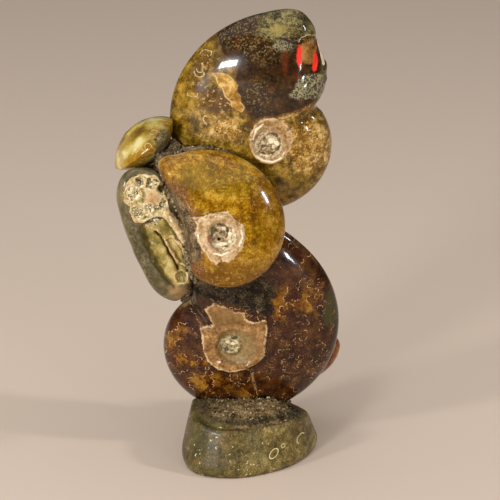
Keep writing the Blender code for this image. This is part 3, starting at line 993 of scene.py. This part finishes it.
LOWER_PEARL = [
    (-3.6, 12.0), (-1.1, 11.3), (1.4, 10.0), (3.4, 9.8), (3.7, 7.9), (5.7, 7.2), (8.5, 8.0), (8.9, 5.0), (8.3, 1.5),
    (8.2, -1.8), (6.1, -4.0), (3.2, -5.5), (0.1, -6.3), (-3.1, -5.3), (-5.3, -3.3), (-6.4, -0.4), (-6.6, 3.1),
    (-7.1, 5.1), (-5.5, 5.9), (-3.9, 6.1), (-4.9, 8.3), (-6.0, 10.0), (-4.5, 11.4),
]
LOWER_FOLD = [(-9.4, 12.2), (-7.9, 10.2), (-6.1, 8.1), (-4.5, 6.4), (-3.2, 5.7)]
LOWER_FOLD_EDGE = [(-10.2, 11.6), (-8.6, 9.6), (-7.0, 7.6), (-5.6, 6.2)]
LOWER_SEAM = [(-3.2, 5.7), (0.2, 6.0), (3.4, 6.1), (6.4, 5.6)]
LOWER_CRACK = [(5.0, -4.3), (5.2, -6.2), (5.3, -8.0), (5.8, -10.0), (6.1, -11.6)]


def lower_relief(x, y):
    return (
        0.16 * ease(-0.25, 0.25, polygon_distance(x, y, LOWER_PEARL))
        + groove(x, y, LOWER_FOLD, 0.75, 0.4)
        + groove(x, y, LOWER_FOLD_EDGE, 0.5, 0.2)
        + groove(x, y, LOWER_SEAM, 0.9, 0.2)
    )


LOWER = Shell(
    "lower_ammonite", (-4.2, 2.5, 28.0), yaw=0, pitch=-6, coil=1, radius=9.8, whole=(131, 430),
    worn=((448, 29.5), (465, 24.0), (479, 17.6)), half_thickness=6.6, umbilicus=5.6, seam=(215, 1.95),
    relief=lower_relief, whorl_relief=0.7, bowl=((1.6, 0.4), 4.9, 0.6), core=((0.2, 0.8), 2.7),
)


def build_lower(tree):
    obj = LOWER.build(tree, paint_lower())
    x, y, front = drawn_on(points_of(obj.data))
    fields = LOWER.umbilicus_fields(
        x, y, front, LOWER_PEARL, [LOWER_FOLD, LOWER_FOLD_EDGE],
        hollows=[(1.0, 2.4, 1.1, 0.55, 1.0), (2.2, 1.3, 0.6, 0.5, 0.7), (-0.9, -0.6, 0.8, 0.8, 1.0)],
        # Of the pale spots, the first is a painted highlight and the others are cream shell.
        pale=[(-2.6, -3.5, 0.8, 0.5, 0.7), (0.7, 0.8, 0.9, 0.6, 0.9), (-0.6, 1.4, 0.8, 0.6, 0.9)],
        matte=[(-8.5, 7.0, 3.6, 3.6, 1.0), (-2.6, -3.5, 1.4, 1.0, 0.8)],
    )
    fields |= {
        "flap": patches(x, y, [(-1.0, 8.8, 5.0, 3.4, 1.0), (6.2, -1.0, 3.6, 7.0, 0.6)]),
        "crack": (1 - ease(0.1, 0.45, line_distance(x, y, LOWER_CRACK))) * front,
        "amber": patches(x, y, [
            (-12.7, 4.2, 3.4, 4.6, 1.0), (-9.0, -3.6, 6.5, 2.0, 0.9), (-6.0, -10.0, 7.5, 4.0, 1.0),
            (4.5, -11.8, 3.4, 2.4, 1.0), (13.0, 12.4, 6.5, 4.2, 0.8), (9.8, 8.5, 3.8, 2.6, 0.6),
            (19.5, 12.5, 3.0, 6.0, 0.6), (-14.0, -3.0, 2.5, 6.0, 0.5),
        ]),
        "green": patches(x, y, [(23.8, 8.7, 2.8, 6.0, 1.0)]),
        "grey": patches(x, y, [(16.0, -5.0, 10.0, 6.0, 1.0)]),
        "beige": patches(x, y, [(-11.5, 10.2, 2.4, 1.9, 1.0), (-9.2, 10.6, 1.8, 1.0, 0.7)]) * front,
        "dirt": patches(x, y, [
            (-3.0, 16.8, 9.5, 5.2, 1.0), (5.5, 14.5, 6.5, 5.0, 0.9), (9.0, 9.6, 3.0, 2.2, 0.5),
            (-9.0, 10.0, 3.6, 3.6, 0.4),
        ]) * front,
    }
    return LOWER.finish(obj, fields)


# The middle shell

MIDDLE_PEARL = [
    (-6.6, 3.8), (-4.2, 3.9), (-2.4, 4.5), (1.5, 4.7), (3.0, 2.9), (4.8, 1.5), (5.2, -1.3), (4.2, -3.9), (2.1, -6.1),
    (0.7, -7.0), (-0.6, -6.1), (-1.9, -7.2), (-3.3, -5.9), (-4.4, -4.3), (-5.6, -2.0), (-6.2, 0.2), (-5.7, 2.1),
]
MIDDLE_SEAM = [(-5.8, 3.0), (-4.6, 4.0), (-2.6, 4.5), (-0.4, 4.5), (1.6, 4.0), (3.2, 3.0), (4.2, 1.7)]
PIN_HOLE = (-0.7, -1.3)


def middle_relief(x, y):
    return (
        0.16 * ease(-0.25, 0.25, polygon_distance(x, y, MIDDLE_PEARL))
        + groove(x, y, MIDDLE_SEAM, 0.5, 0.3)
        + dimple(x, y, PIN_HOLE, 0.42, 0.8)
    )


MIDDLE = Shell(
    "middle_ammonite", (-6.5, -9.0, 57.8), yaw=10, pitch=24, coil=1, radius=15.2, whole=(-124, 127),
    worn=((135, 15.6), (145, 11.2), (158, 9.0), (180, 7.8), (200, 7.7), (218, 8.8)), half_thickness=5.6,
    umbilicus=3.6, blunt=(180, 70, 6.0), seam=(-50, 1.38), relief=middle_relief, whorl_relief=0.5, dip=1.5,
    bowl=((0.2, -0.9), 3.6, 0.7), core=((0.1, -0.8), 3.4),
)


def build_middle(tree):
    obj = MIDDLE.build(tree, paint_middle())
    x, y, front = drawn_on(points_of(obj.data))
    fields = MIDDLE.umbilicus_fields(
        x, y, front, MIDDLE_PEARL, [MIDDLE_SEAM],
        hollows=[
            (*PIN_HOLE, 0.45, 0.45, 1.0), (-1.7, 0.9, 1.4, 0.9, 0.7), (3.1, -1.6, 0.6, 1.8, 0.5),
            (1.2, 0.4, 0.4, 0.35, 0.9), (0.1, 0.2, 0.5, 0.4, 0.7),
        ],
        # The pale spots are cream shell and painted highlights, and the glints are painted highlight lines.
        pale=[
            (0.5, 1.1, 0.6, 0.45, 1.0), (1.8, -0.2, 0.5, 0.6, 1.0), (-0.2, -2.5, 1.7, 0.6, 1.0),
            (1.7, -2.0, 0.5, 0.6, 0.8), (-3.2, 3.1, 1.2, 0.8, 0.5), (-1.0, 3.6, 1.2, 0.6, 0.5),
            (-4.7, -0.6, 0.6, 1.6, 0.4),
        ],
        glints=[[(-2.2, -4.6), (-0.7, -5.1), (0.9, -4.5)], [(4.2, 0.2), (4.4, -1.6), (3.5, -3.2)]],
        rusty=[(-2.9, -1.4, 1.0, 1.3, 0.9), (-2.6, -3.2, 1.0, 0.8, 0.6)],
        matte=[(5.4, -5.0, 2.6, 2.6, 1.0)],
    )
    turn = np.degrees(np.arctan2(y, x)) % 360
    from_edge = smooth_closed(MIDDLE.rim, turn) - np.hypot(x, y)
    worn = ease(118, 138, turn) * (1 - ease(232, 255, turn))
    fields |= {
        "olive": patches(x, y, [
            (-3.9, 12.5, 6.0, 5.0, 0.9), (4.2, 11.0, 6.0, 4.5, 0.7), (8.0, -1.0, 4.0, 5.0, 0.4),
        ]),
        "amber": patches(x, y, [(11.5, 4.0, 4.0, 10.0, 0.6), (2.0, -10.5, 12.0, 5.0, 1.0)]),
        "maroon": np.maximum(
            worn * (1 - ease(1.5, 5.5, from_edge)),
            patches(x, y, [(-9.8, 8.4, 3.8, 6.0, 0.9), (-7.0, 4.6, 3.0, 2.6, 0.7), (-6.6, -5.5, 2.4, 4.0, 0.7)])),
        "dirt": worn * (1 - ease(0.8, 4.2, from_edge)) * (1 - 0.6 * ease(6.0, 12.0, y)) * ease(-8.0, -4.0, y),
        # lip: a painted highlight along the rim, where the polished edge rolls over
        "lip": (1 - ease(0.2, 0.6, from_edge))
        * patches(x, y, [(-9.0, 17.0, 5.5, 3.4, 1.0), (1.0, 16.0, 8.0, 2.0, 0.5)]),
    }
    return MIDDLE.finish(obj, fields)


# The top shell

UPPER_PEARL = [
    (4.9, -1.4), (5.3, 0.7), (4.8, 3.0), (3.2, 5.0), (1.2, 6.1), (-1.2, 6.2), (-3.4, 4.6), (-4.6, 2.2), (-4.7, -0.4),
    (-3.8, -3.0), (-1.9, -4.7), (0.4, -5.2), (3.0, -4.0),
]
UPPER_STRIP = [
    (-13.6, 15.9), (-12.5, 15.0), (-12.0, 13.4), (-10.9, 12.3), (-10.4, 10.6), (-9.2, 9.6), (-8.9, 8.3), (-7.2, 7.4),
    (-6.4, 7.0), (-5.6, 8.5), (-6.6, 9.6), (-6.4, 10.9), (-7.4, 12.0), (-7.2, 13.6), (-8.4, 15.0), (-9.6, 16.0),
    (-11.4, 16.2),
]
UPPER_BORDER = ((5.0, 7.3, 10.5, 15.0, 19.5, 22.9, 27.0, 31.0), (140, 128, 124, 122, 112, 118, 117, 116))
UPPER_SEAM = ((30, 44, 49, 58, 79, 103, 127, 150), (15.0, 13.8, 10.9, 8.7, 6.5, 6.3, 6.5, 7.0))
UPPER_EDGE = [(2.0, 24.2), (5.8, 22.9), (8.6, 23.2), (11.2, 24.6)]
# A painted highlight along the broken right edge
UPPER_RIM_HIGHLIGHT = [(10.8, 22.6), (11.4, 20.5), (12.1, 17.5)]
# The cut edges of chambers, as small pale arcs, and of the lip: place, half sizes, lean, opening
UPPER_ARCS = (
    ((-14.6, 19.9), (1.3, 0.8), 0.3, -90), ((-16.1, 15.7), (1.1, 1.0), -0.3, 90),
    ((-16.0, 16.4), (0.7, 0.6), -0.3, 90), ((-17.7, 10.9), (1.2, 0.7), 0.0, 90),
    ((-14.6, 5.2), (0.6, 0.9), 0.2, 0), ((-10.8, 5.0), (0.9, 0.5), 0.4, 90),
)
UPPER_LIP = ((8.4, 23.4), (2.0, 1.1), 0.0, -90)


def upper_relief(x, y):
    return 0.14 * ease(-0.25, 0.25, polygon_distance(x, y, UPPER_PEARL)) + groove(x, y, UPPER_EDGE, 0.6, 0.35)


UPPER = Shell(
    "upper_ammonite", (5.1, 7.0, 76.5), yaw=0, pitch=0, coil=-1, radius=14.2, whole=(78 - 360, 24),
    worn=((36, 13.1), (41, 16.3), (50, 20.5), (62, 24.0), (70, 28.0)), half_thickness=6.2, umbilicus=4.2,
    blunt=(56, 84, 4.0), step=(1.2, ((36, 13.0), (52, 7.8), (75, 5.2), (97, 4.3), (125, 5.0), (148, 6.3))),
    seam=(200, 1.4), relief=upper_relief, whorl_relief=0.5, bowl=((-0.4, -0.6), 3.6, 0.7), core=((-0.4, -0.6), 3.5),
    chips=((65.5, 2.0, 0.45), (60.5, 1.6, 0.25), (56.0, 1.8, 0.3), (49.0, 3.0, 0.4), (44.5, 1.6, 0.25)),
)


def build_upper(tree):
    obj = UPPER.build(tree, paint_upper())
    x, y, front = drawn_on(points_of(obj.data))
    fields = UPPER.umbilicus_fields(
        x, y, front, UPPER_PEARL, [UPPER_EDGE],
        hollows=[(-1.6, -1.2, 0.7, 0.6, 0.8), (1.4, 1.4, 0.6, 0.7, 0.7), (0.2, -1.9, 1.0, 0.4, 0.7)],
        # The pale spots are cream shell and painted highlights, and the glints are painted highlight lines.
        pale=[(0.3, 0.1, 1.1, 0.9, 1.0), (1.6, -0.6, 0.8, 0.7, 0.9), (-0.8, 1.0, 0.7, 0.6, 0.6)],
        glints=[[(-3.6, -2.9), (-1.6, -4.2), (0.6, -4.5), (2.6, -3.6)], [(-3.9, 0.8), (-3.3, 3.0), (-1.6, 4.6)]],
        matte=[(-15.2, 19.8, 4.4, 5.0, 1.0)],
    )
    distance = np.hypot(x, y)
    angle = np.degrees(np.arctan2(y, x))
    inside_border = np.radians(np.interp(distance, *UPPER_BORDER) - angle) * distance
    seam = np.interp(angle, *UPPER_SEAM)
    chamber = np.where(angle > 0, np.minimum(inside_border, distance - seam), -FAR)
    below_seam = 1 - ease(0.5, 1.3, np.abs(distance - seam + 1.5) / 1.5)
    fields |= {
        "chamber": chamber,
        "strip": np.where(front > 0.5, polygon_distance(x, y, UPPER_STRIP), OUTSIDE),
        "cream": np.clip(
            patches(x, y, [(-9.5, 3.2, 5.0, 4.5, 0.7), (-13.5, 3.0, 4.0, 5.0, 0.3), (9.0, -1.0, 7.0, 9.0, 0.9)])
            + below_seam * ease(35, 50, angle) * (1 - ease(110, 150, angle)), 0, 1),
        "brown": patches(x, y, [
            (-12.3, 9.6, 4.4, 3.6, 1.0), (-4.4, 8.6, 2.4, 3.0, 0.9), (-16.4, 12.5, 2.0, 2.0, 0.7),
            (-15.0, 19.0, 2.0, 3.0, 0.8),
        ]),
        "specks": patches(x, y, [
            (-6.5, 25.5, 7.0, 4.5, 1.0), (-2.0, 22.0, 6.0, 4.0, 0.6), (-3.0, 11.5, 3.5, 4.0, 0.6),
        ]),
        "frost": patches(x, y, [
            (8.4, 13.6, 3.4, 2.8, 1.0), (7.0, 11.6, 3.6, 1.8, 0.8), (11.4, 12.6, 3.0, 4.0, 0.9),
            (3.0, 22.6, 3.6, 2.4, 0.6),
        ]),
        "ochre": patches(x, y, [(8.6, 21.0, 2.4, 3.4, 1.0)]) * front,
        "matrix": patches(x, y, [
            (7.0, 28.0, 8.5, 4.6, 1.0), (12.6, 26.0, 3.0, 4.4, 1.0), (1.0, 26.6, 5.0, 3.0, 0.9),
            (12.8, 17.0, 1.5, 5.0, 0.8),
        ]),
        "crust": patches(x, y, [(1.6, 26.0, 3.2, 1.5, 0.9), (11.8, 25.2, 3.0, 2.6, 0.5)]),
        # the red iridescent reflection, painted and made to glow
        "flash": np.clip(
            patches(x, y, [(6.7, 20.0, 1.0, 2.9, 1.0), (10.0, 18.5, 0.9, 2.5, 1.0)])
            - patches(x, y, [(7.7, 20.0, 0.9, 2.6, 1.0), (9.2, 19.2, 0.7, 1.6, 0.8)]), 0, 1) * front,
        "faint": patches(x, y, [(3.3, 19.2, 0.8, 3.4, 1.0), (5.6, 15.6, 1.4, 1.2, 0.6)]) * front,
        "sliver": (1 - ease(0.1, 0.45, line_distance(x, y, UPPER_RIM_HIGHLIGHT))) * front,
        "dirt": patches(x, y, [(-10.5, -9.5, 5.5, 2.4, 0.8)]) * front,
    }
    return UPPER.finish(obj, fields)


# The two shells that show least

SMALL = Shell(
    "small_ammonite", (-24.0, 5.2, 75.4), yaw=-90, pitch=50, coil=1, radius=10.8, whole=(-100, 20),
    worn=((80, 9.0), (135, 8.0), (200, 8.2), (235, 8.6)), half_thickness=4.4, umbilicus=2.6, dip=0.8,
    fullness=2.2, edge=0.8, segments=200, rings=((16, 40), (12, 34)), seam=(60, 1.4), whorl_relief=0.5,
)
REAR = Shell(
    "rear_ammonite", (9.5, 14.4, 17.6), yaw=188, pitch=4, coil=1, radius=8.6, whole=(-60, 170),
    worn=((225, 9.0),), half_thickness=4.4, umbilicus=2.6, dip=0.9, segments=200, rings=((16, 36), (12, 30)),
    seam=(190, 1.5), whorl_relief=0.6,
)


def build_plain(shell, tree, finish, pearly, dirt=()):
    obj = shell.build(tree, finish)
    flat = points_of(obj.data)
    x, y, front = drawn_on(flat)
    fields = shell.umbilicus_fields(x, y, front, None)
    fields["nacre"] = (shell.umbilicus * 1.1 if pearly else OUTSIDE) - np.hypot(x, y)
    fields["dirt"] = patches(x, y, dirt) * (1 - ease(-1.5, 3.0, flat[:, 2]))
    return shell.finish(obj, fields)


# The shell that was cut open

# How long its two faces stay high on the way to the rim
FRONT_FULLNESS = 5
BACK_FULLNESS = 2.2

# In millimetres
RECESS_DEPTH = 1.6
RIDGE_HEIGHT = 0.6
SLIT_DEPTH = 0.7
WALL_HEIGHT = 1.3


class CutShell(Shell):
    """A shell ground through, so that a long section faces the front and half a disc lies behind it."""

    def __init__(self, name, centre, yaw, pitch, roll, front, back, rim):
        self.name = name
        self.centre = Vector(centre)
        facing = Euler((math.radians(90 - pitch), 0, math.radians(yaw))).to_matrix()
        self.turned = facing @ Euler((0, 0, math.radians(roll))).to_matrix()
        self.front = front
        self.back = back
        self.rim = rim

    def covers(self, points, margin):
        local = (points - np.array(self.centre)) @ np.array(self.turned)
        share = np.hypot(local[:, 0], local[:, 1])
        share = share / smooth_closed(self.rim, np.degrees(np.arctan2(local[:, 1], local[:, 0])))
        front = domed(self.front, share, FRONT_FULLNESS) + margin
        back = domed(self.back, share, BACK_FULLNESS) + margin
        return (share < 1) & (local[:, 2] < front) & (local[:, 2] > -back)


def domed(height, share, fullness):
    """How high a face stands, at a share of the way from its middle to the rim."""
    return height * np.sqrt(np.clip(1 - share**fullness, 0, None))


SIDE = CutShell(
    "side_ammonite", (-21.4, -7.0, 56.8), yaw=8, pitch=6, roll=17.5, front=3.2, back=11.0,
    rim=((0, 7.8), (30, 8.4), (55, 11.2), (68, 14.7), (78, 15.9), (95, 16.0), (108, 13.8), (130, 8.8),
         (160, 6.2), (195, 5.9), (232, 8.4), (258, 14.4), (270, 16.3), (282, 15.0), (296, 11.6), (330, 8.4)),
)
ROSETTE = [
    (-2.9, 12.2), (-1.9, 13.9), (0.2, 14.9), (2.4, 14.7), (4.8, 12.9), (5.7, 11.0), (5.4, 7.8), (4.8, 4.6), (3.4, 4.6),
    (1.2, 5.2), (-0.6, 4.6), (-2.8, 5.4), (-3.2, 7.6), (-2.6, 9.0), (-3.4, 10.4),
]
RECESS = [
    (-2.6, 3.9), (-2.8, -0.1), (-2.5, -4.5), (-1.6, -9.0), (0.3, -12.6), (2.6, -13.0), (4.3, -10.0), (4.9, -6.5),
    (4.8, -2.0), (4.5, 1.2), (3.2, 3.9), (0.4, 5.0),
]
SLIT = [(0.7, 1.2), (1.3, -0.4), (1.7, -2.4), (2.0, -4.6), (2.5, -7.0), (2.8, -9.0)]
LONG_CHAMBER = [(2.3, -1.0), (3.8, -1.0), (4.9, -3.2), (5.2, -6.8), (4.4, -8.4), (3.2, -7.6), (2.5, -4.4)]
RIGHT_WALL = [(4.4, 4.6), (5.5, 1.6), (6.2, -2.0), (6.4, -6.0), (5.4, -10.0), (4.4, -12.0)]
# Chambers cut through, each with its middle, radius, depth and how far it is lined with crystals
CHAMBERS = (
    ((-1.2, 11.6), 1.75, 0.6, 0.9), ((1.0, 13.4), 1.3, 1.2, 0.35), ((3.5, 12.3), 1.55, 0.45, 1.0),
    ((5.2, 10.3), 1.2, 1.4, 0.1), ((-1.6, 7.2), 1.6, 0.8, 0.7), ((1.0, 7.2), 1.1, 0.5, 0.7),
    ((2.6, 6.7), 0.8, 0.4, 0.8), ((4.4, 6.9), 0.9, 0.35, 1.0), ((2.8, -10.8), 1.45, 0.8, 0.2),
)


def build_side(crust):
    finish = paint_side()
    shares = list(np.sin((np.arange(SECTION_RINGS) + 1) / (SECTION_RINGS + 1) * math.pi / 2))
    turn, share, side, faces = round_grid(SEGMENTS - 40, shares, shares[::3])
    distance = share * smooth_closed(SIDE.rim, turn)
    x = distance * np.cos(np.radians(turn))
    y = distance * np.sin(np.radians(turn))
    height = domed(SIDE.front, share, FRONT_FULLNESS)
    u, v = shaken(x, y)
    floor = ease(-0.2, 1.5, polygon_distance(u, v, RECESS))
    ridge = line_distance(x, y, [(0.2, -2.0), (1.4, -11.0)])
    height -= RECESS_DEPTH * floor - RIDGE_HEIGHT * (1 - ease(0.3, 2.0, ridge)) * floor
    height += groove(u, v, SLIT, 0.5, SLIT_DEPTH)
    height += WALL_HEIGHT * (1 - ease(0.3, 1.8, line_distance(x, y, RIGHT_WALL)))
    long_chamber = polygon_distance(u, v, LONG_CHAMBER)
    height += 0.7 * (1 - ease(0.15, 0.5, np.abs(long_chamber))) - 0.3 * ease(0.0, 0.4, long_chamber)
    height -= 0.25 * ease(-0.2, 0.5, polygon_distance(u, v, ROSETTE))
    for spot, radius, depth, _ in CHAMBERS:
        away = np.hypot(u - spot[0], v - spot[1]) / radius
        height += 0.2 * (1 - ease(0.1, 0.3, np.abs(away - 1.05))) - 0.6 * depth * (1 - ease(0.45, 0.98, away))
    back = -domed(SIDE.back, share, BACK_FULLNESS)
    place = np.stack([x, y, np.where(side > 0, height, np.where(side < 0, back, 0))], axis=1)
    place[share > ON_RIM, 2] = 0
    mesh = bpy.data.meshes.new(SIDE.name + "_grid")
    mesh.from_pydata(place.tolist(), [], faces)
    obj = add_object(mesh.name, mesh)
    lined = np.zeros(x.shape)
    for spot, radius, _, crystals in CHAMBERS:
        lined += crystals * (1 - ease(0.6, 0.95, np.hypot(x - spot[0], y - spot[1]) / radius))
    lined += patches(x, y, [(1.4, 3.6, 2.0, 1.2, 0.8)])
    write_field(mesh, "scatter", np.clip(lined, 0, 1) * (side > 0))
    obj = with_tree(
        obj, crust, SIDE.name + "_polished", Density=9.0, Smallest=0.14, Largest=0.42, Seed=4, Finish=finish
    )
    return SIDE.finish(obj, side_fields(points_of(obj.data)))


def shaken(x, y):
    """Flat places pushed about a little, so that what is cut there gets ragged edges."""
    points = np.stack([x, y, np.zeros(x.shape)], axis=1)
    return x + 0.36 * rough(points, 1.5, 2, 1.0), y + 0.36 * rough(points, 1.5, 2, 9.0)


def side_fields(flat):
    x, y, front = drawn_on(flat)
    u, v = shaken(x, y)
    recess = polygon_distance(u, v, RECESS)
    slit = 1 - ease(0.1, 0.36, line_distance(u, v, SLIT))
    walls = 1 - ease(0.2, 0.42, np.abs(polygon_distance(u, v, LONG_CHAMBER)))
    dark = np.zeros(x.shape)
    for spot, radius, _, crystals in CHAMBERS:
        away = np.hypot(u - spot[0], v - spot[1]) / radius
        walls += 0.8 - 0.8 * ease(0.06, 0.22, np.abs(away - 1.06))
        dark += (1 - ease(0.55, 0.95, away)) * (0.9 - 0.6 * crystals) * (spot[1] > 0)
    right_wall = 1 - ease(0.7, 1.4, line_distance(u, v, RIGHT_WALL))
    rosette = polygon_distance(u, v, ROSETTE)
    outline = 1 - ease(0.1, 0.3, np.abs(rosette))
    # A painted highlight streak at the top of the recess, drawn as cream.
    highlight_streak = 1 - ease(0.1, 0.4, line_distance(x, y, [(0.2, 2.3), (1.1, 1.5), (1.6, 0.4)]))
    left_wall = ease(-0.5, 0.1, recess) * (1 - ease(0.7, 1.6, recess)) * (1 - ease(-0.6, 1.2, x))
    pink = [(1.6, -14.6, 3.4, 2.2, 0.5), (0.2, -12.4, 2.2, 1.8, 0.4), (2.4, 8.9, 2.2, 1.9, 1.0)]
    return {
        "lobes": ease(-0.1, 0.3, rosette) * front,
        "cream": np.clip(outline + walls + right_wall + highlight_streak, 0, 1) * front,
        "honey": ease(0.1, 0.8, recess) * front,
        "shadow": left_wall * front,
        "dark": np.clip(slit + dark + patches(x, y, [(0.8, 4.2, 2.8, 0.9, 0.8)]), 0, 1) * front,
        "spotted": patches(x, y, [(-4.2, -4.0, 1.7, 9.5, 1.0), (-3.6, 3.0, 1.2, 4.0, 0.6)]),
        "pink": patches(x, y, pink) * front,
    }


# The stone that holds them together

FOOT_CENTRE = (0.5, -1.0)
LEDGE_HEIGHT = (
    (0, 9.0), (35, 7.6), (70, 8.6), (115, 10.5), (150, 11.8), (180, 12.4), (215, 11.8), (250, 11.2), (300, 11.0),
    (335, 10.4),
)
# Small shells cut through on the foot's front: place across and up, half sizes, lean, opening, strength
FOOT_RINGS = (
    ((6.1, 4.9), (1.2, 0.85), 0.85, None, 1.0), ((8.3, 6.1), (0.42, 0.45), 0.0, None, 0.6),
    ((12.6, 5.8), (0.95, 1.0), 0.2, -45, 0.8),
)
SKIN = 0.35  # how far the gritty skin stands off the solid
FURROW_DEPTH = 1.9  # how much further back than its solid it lies between the cut shell and the middle one


def build_stone(sand):
    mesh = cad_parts["matrix_stone"].data.copy()
    work = bmesh.new()
    work.from_mesh(mesh)
    bmesh.ops.remove_doubles(work, verts=work.verts, dist=0.00002)
    work.to_mesh(mesh)
    work.free()
    mesh.transform(Matrix.Scale(1 / MM, 4))
    obj = add_object("matrix_stone_grid", mesh)
    remesh = obj.modifiers.new("grid", "REMESH")
    remesh.mode = "VOXEL"
    remesh.voxel_size = GRIT_VOXEL
    obj = applied(obj, "matrix_stone_skin")
    mesh = obj.data
    points = points_of(mesh)
    sanded = stone_fields(points)["rough"]
    lumps = rough(points, 2.2, 3, 3.0)
    grit = rough(points, 0.8, 2, 7.0)
    push = SKIN + sanded * (0.3 * lumps + 0.28 * grit)
    points = points + points_of(mesh, "normal") * push[:, None]
    points[:, 1] += FURROW_DEPTH * groove_share(points)
    points[:, 2] = np.maximum(points[:, 2], 0.0)
    mesh.vertices.foreach_set("co", points.astype(np.float32).ravel())
    shells = (LOWER, MIDDLE, UPPER, SIDE, SMALL, REAR)
    hidden = np.logical_or.reduce([shell.covers(points, 0.1) for shell in shells])
    write_field(mesh, "scatter", sanded * ~hidden)
    obj = with_tree(
        obj, sand, "matrix_stone_gritty", Density=1.15, Smallest=0.1, Largest=0.34, Seed=2, Finish=paint_stone()
    )
    mesh = obj.data
    for name, values in stone_fields(points_of(mesh)).items():
        write_field(mesh, name, values)
    mesh.transform(Matrix.Scale(MM, 4))
    mesh.shade_smooth()
    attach(obj, "root")
    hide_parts("matrix_stone")
    return obj


def groove_share(points):
    """1 in the furrow between the cut shell and the middle one, where the stone lies deeper than its solid."""
    x, y, z = points.T
    across = ease(-19.5, -18.0, x) * (1 - ease(-13.5, -11.5, x))
    return across * ease(38.0, 43.0, z) * (1 - ease(62.0, 67.0, z)) * (1 - ease(-8.0, -5.0, y))


def stone_fields(points):
    """Where the stone was left rough, is shaded by the ledge, lies high up, and is dark with grit and painted shade
    under the middle shell.
    """
    x, y, z = points.T
    ledge = smooth_closed(LEDGE_HEIGHT, np.degrees(np.arctan2(y - FOOT_CENTRE[1], x - FOOT_CENTRE[0])))
    above = z - ledge
    outside = ease(11.4, 12.6, np.hypot(x - FOOT_CENTRE[0], y - FOOT_CENTRE[1]))
    waist = ease(34.0, 38.0, z) * (1 - ease(46.0, 50.0, z))
    return {
        "rough": np.maximum(ease(0.1, 0.7, above), ease(-1.5, 0.5, above) * (1 - outside)),
        "shade": ease(0.0, 0.4, above) * (1 - ease(0.6, 1.6, above)),
        "high": ease(20.0, 30.0, z),
        # dark grit and painted shade under the middle shell
        "sooty": waist * ease(-17.0, -12.0, x) * (1 - ease(-3.0, 4.0, y)),
    }


# The studio

LIT_POINT = Vector((-0.002, 0, 0.06))
# Each light's name, its direction from that point, distance and size in metres, and power in watts
LIGHTS = (
    ("key", (-0.5, -0.857, 0.15), 0.7, (0.12, 0.06), 3.0),
    ("right", (0.55, -0.83, 0.05), 0.7, (0.04, 0.06), 0.5),
    ("high_right", (0.79, -0.21, 0.57), 0.7, (0.05, 0.1), 1.2),
    ("left", (-0.76, -0.5, 0.41), 0.7, (0.08, 0.12), 1.4),
    ("overhead", (-0.1, -0.1, 0.99), 1.2, (2.0, 2.0), 11.0),
)


def build_studio():
    mesh = bpy.data.meshes.new("floor")
    mesh.from_pydata([(-2, -2, 0), (2, -2, 0), (2, 2, 0), (-2, 2, 0)], [], [(0, 1, 2, 3)])
    floor = add_object("floor", mesh)
    mesh.materials.append(Paint("pale_floor").finish(Base_Color=tone("#DCC8B6"), Roughness=0.8))

    world = bpy.data.worlds.new("studio")
    bpy.context.scene.world = world
    world.use_nodes = True
    world.node_tree.nodes["Background"].inputs["Color"].default_value = (1.0, 0.93, 0.85, 1)
    world.node_tree.nodes["Background"].inputs["Strength"].default_value = 0.12
    bpy.context.scene.view_settings.view_transform = "Standard"

    for light in LIGHTS:
        soft_light(*light)


def soft_light(name, towards, distance, size, power):
    data = bpy.data.lights.new(name, "AREA")
    data.shape = "RECTANGLE"
    data.size, data.size_y = size
    data.energy = power
    light = bpy.data.objects.new(name, data)
    direction = Vector(towards).normalized()
    light.location = LIT_POINT + direction * distance
    light.rotation_euler = direction.to_track_quat("Z", "Y").to_euler()
    bpy.context.scene.collection.objects.link(light)


def build_camera():
    data = bpy.data.cameras.new("camera")
    data.lens = CAMERA_LENS
    data.sensor_width = 36
    data.clip_start = 0.01
    camera = bpy.data.objects.new("camera", data)
    back = Vector((0, -math.cos(CAMERA_ELEVATION), math.sin(CAMERA_ELEVATION)))
    camera.location = CAMERA_TARGET + back * CAMERA_DISTANCE
    camera.rotation_euler = (math.pi / 2 - CAMERA_ELEVATION, 0, 0)
    bpy.context.scene.collection.objects.link(camera)
    bpy.context.scene.camera = camera


def main():
    build_camera()
    coiled = shell_tree()
    crust = scatter_tree("crystal_crust", "GeometryNodeMeshCube", {"Size": (1.0, 0.8, 0.6)})
    sand = scatter_tree("loose_sand", "GeometryNodeMeshIcoSphere", {"Radius": 1.0, "Subdivisions": 1})
    build_lower(coiled)
    build_middle(coiled)
    build_upper(coiled)
    codes = ("#6A4C10", "#8A6E20", "#A88E3C", "#BEA85C", "#D8C88E")
    green = paint_plain_calcite("green_calcite_shell", codes, "#94640E", "#DCC078")
    build_plain(SMALL, coiled, green, False, [(9.0, 7.5, 3.0, 3.6, 1.0), (7.5, 4.0, 3.4, 3.0, 0.9)])
    codes = ("#3E1802", "#662E02", "#7E4204", "#925A0C", "#B48030")
    orange = paint_plain_calcite("orange_calcite_shell", codes, "#6E3404", "#D09848")
    build_plain(REAR, coiled, orange, True)
    build_side(crust)
    build_stone(sand)
    build_studio()


main()
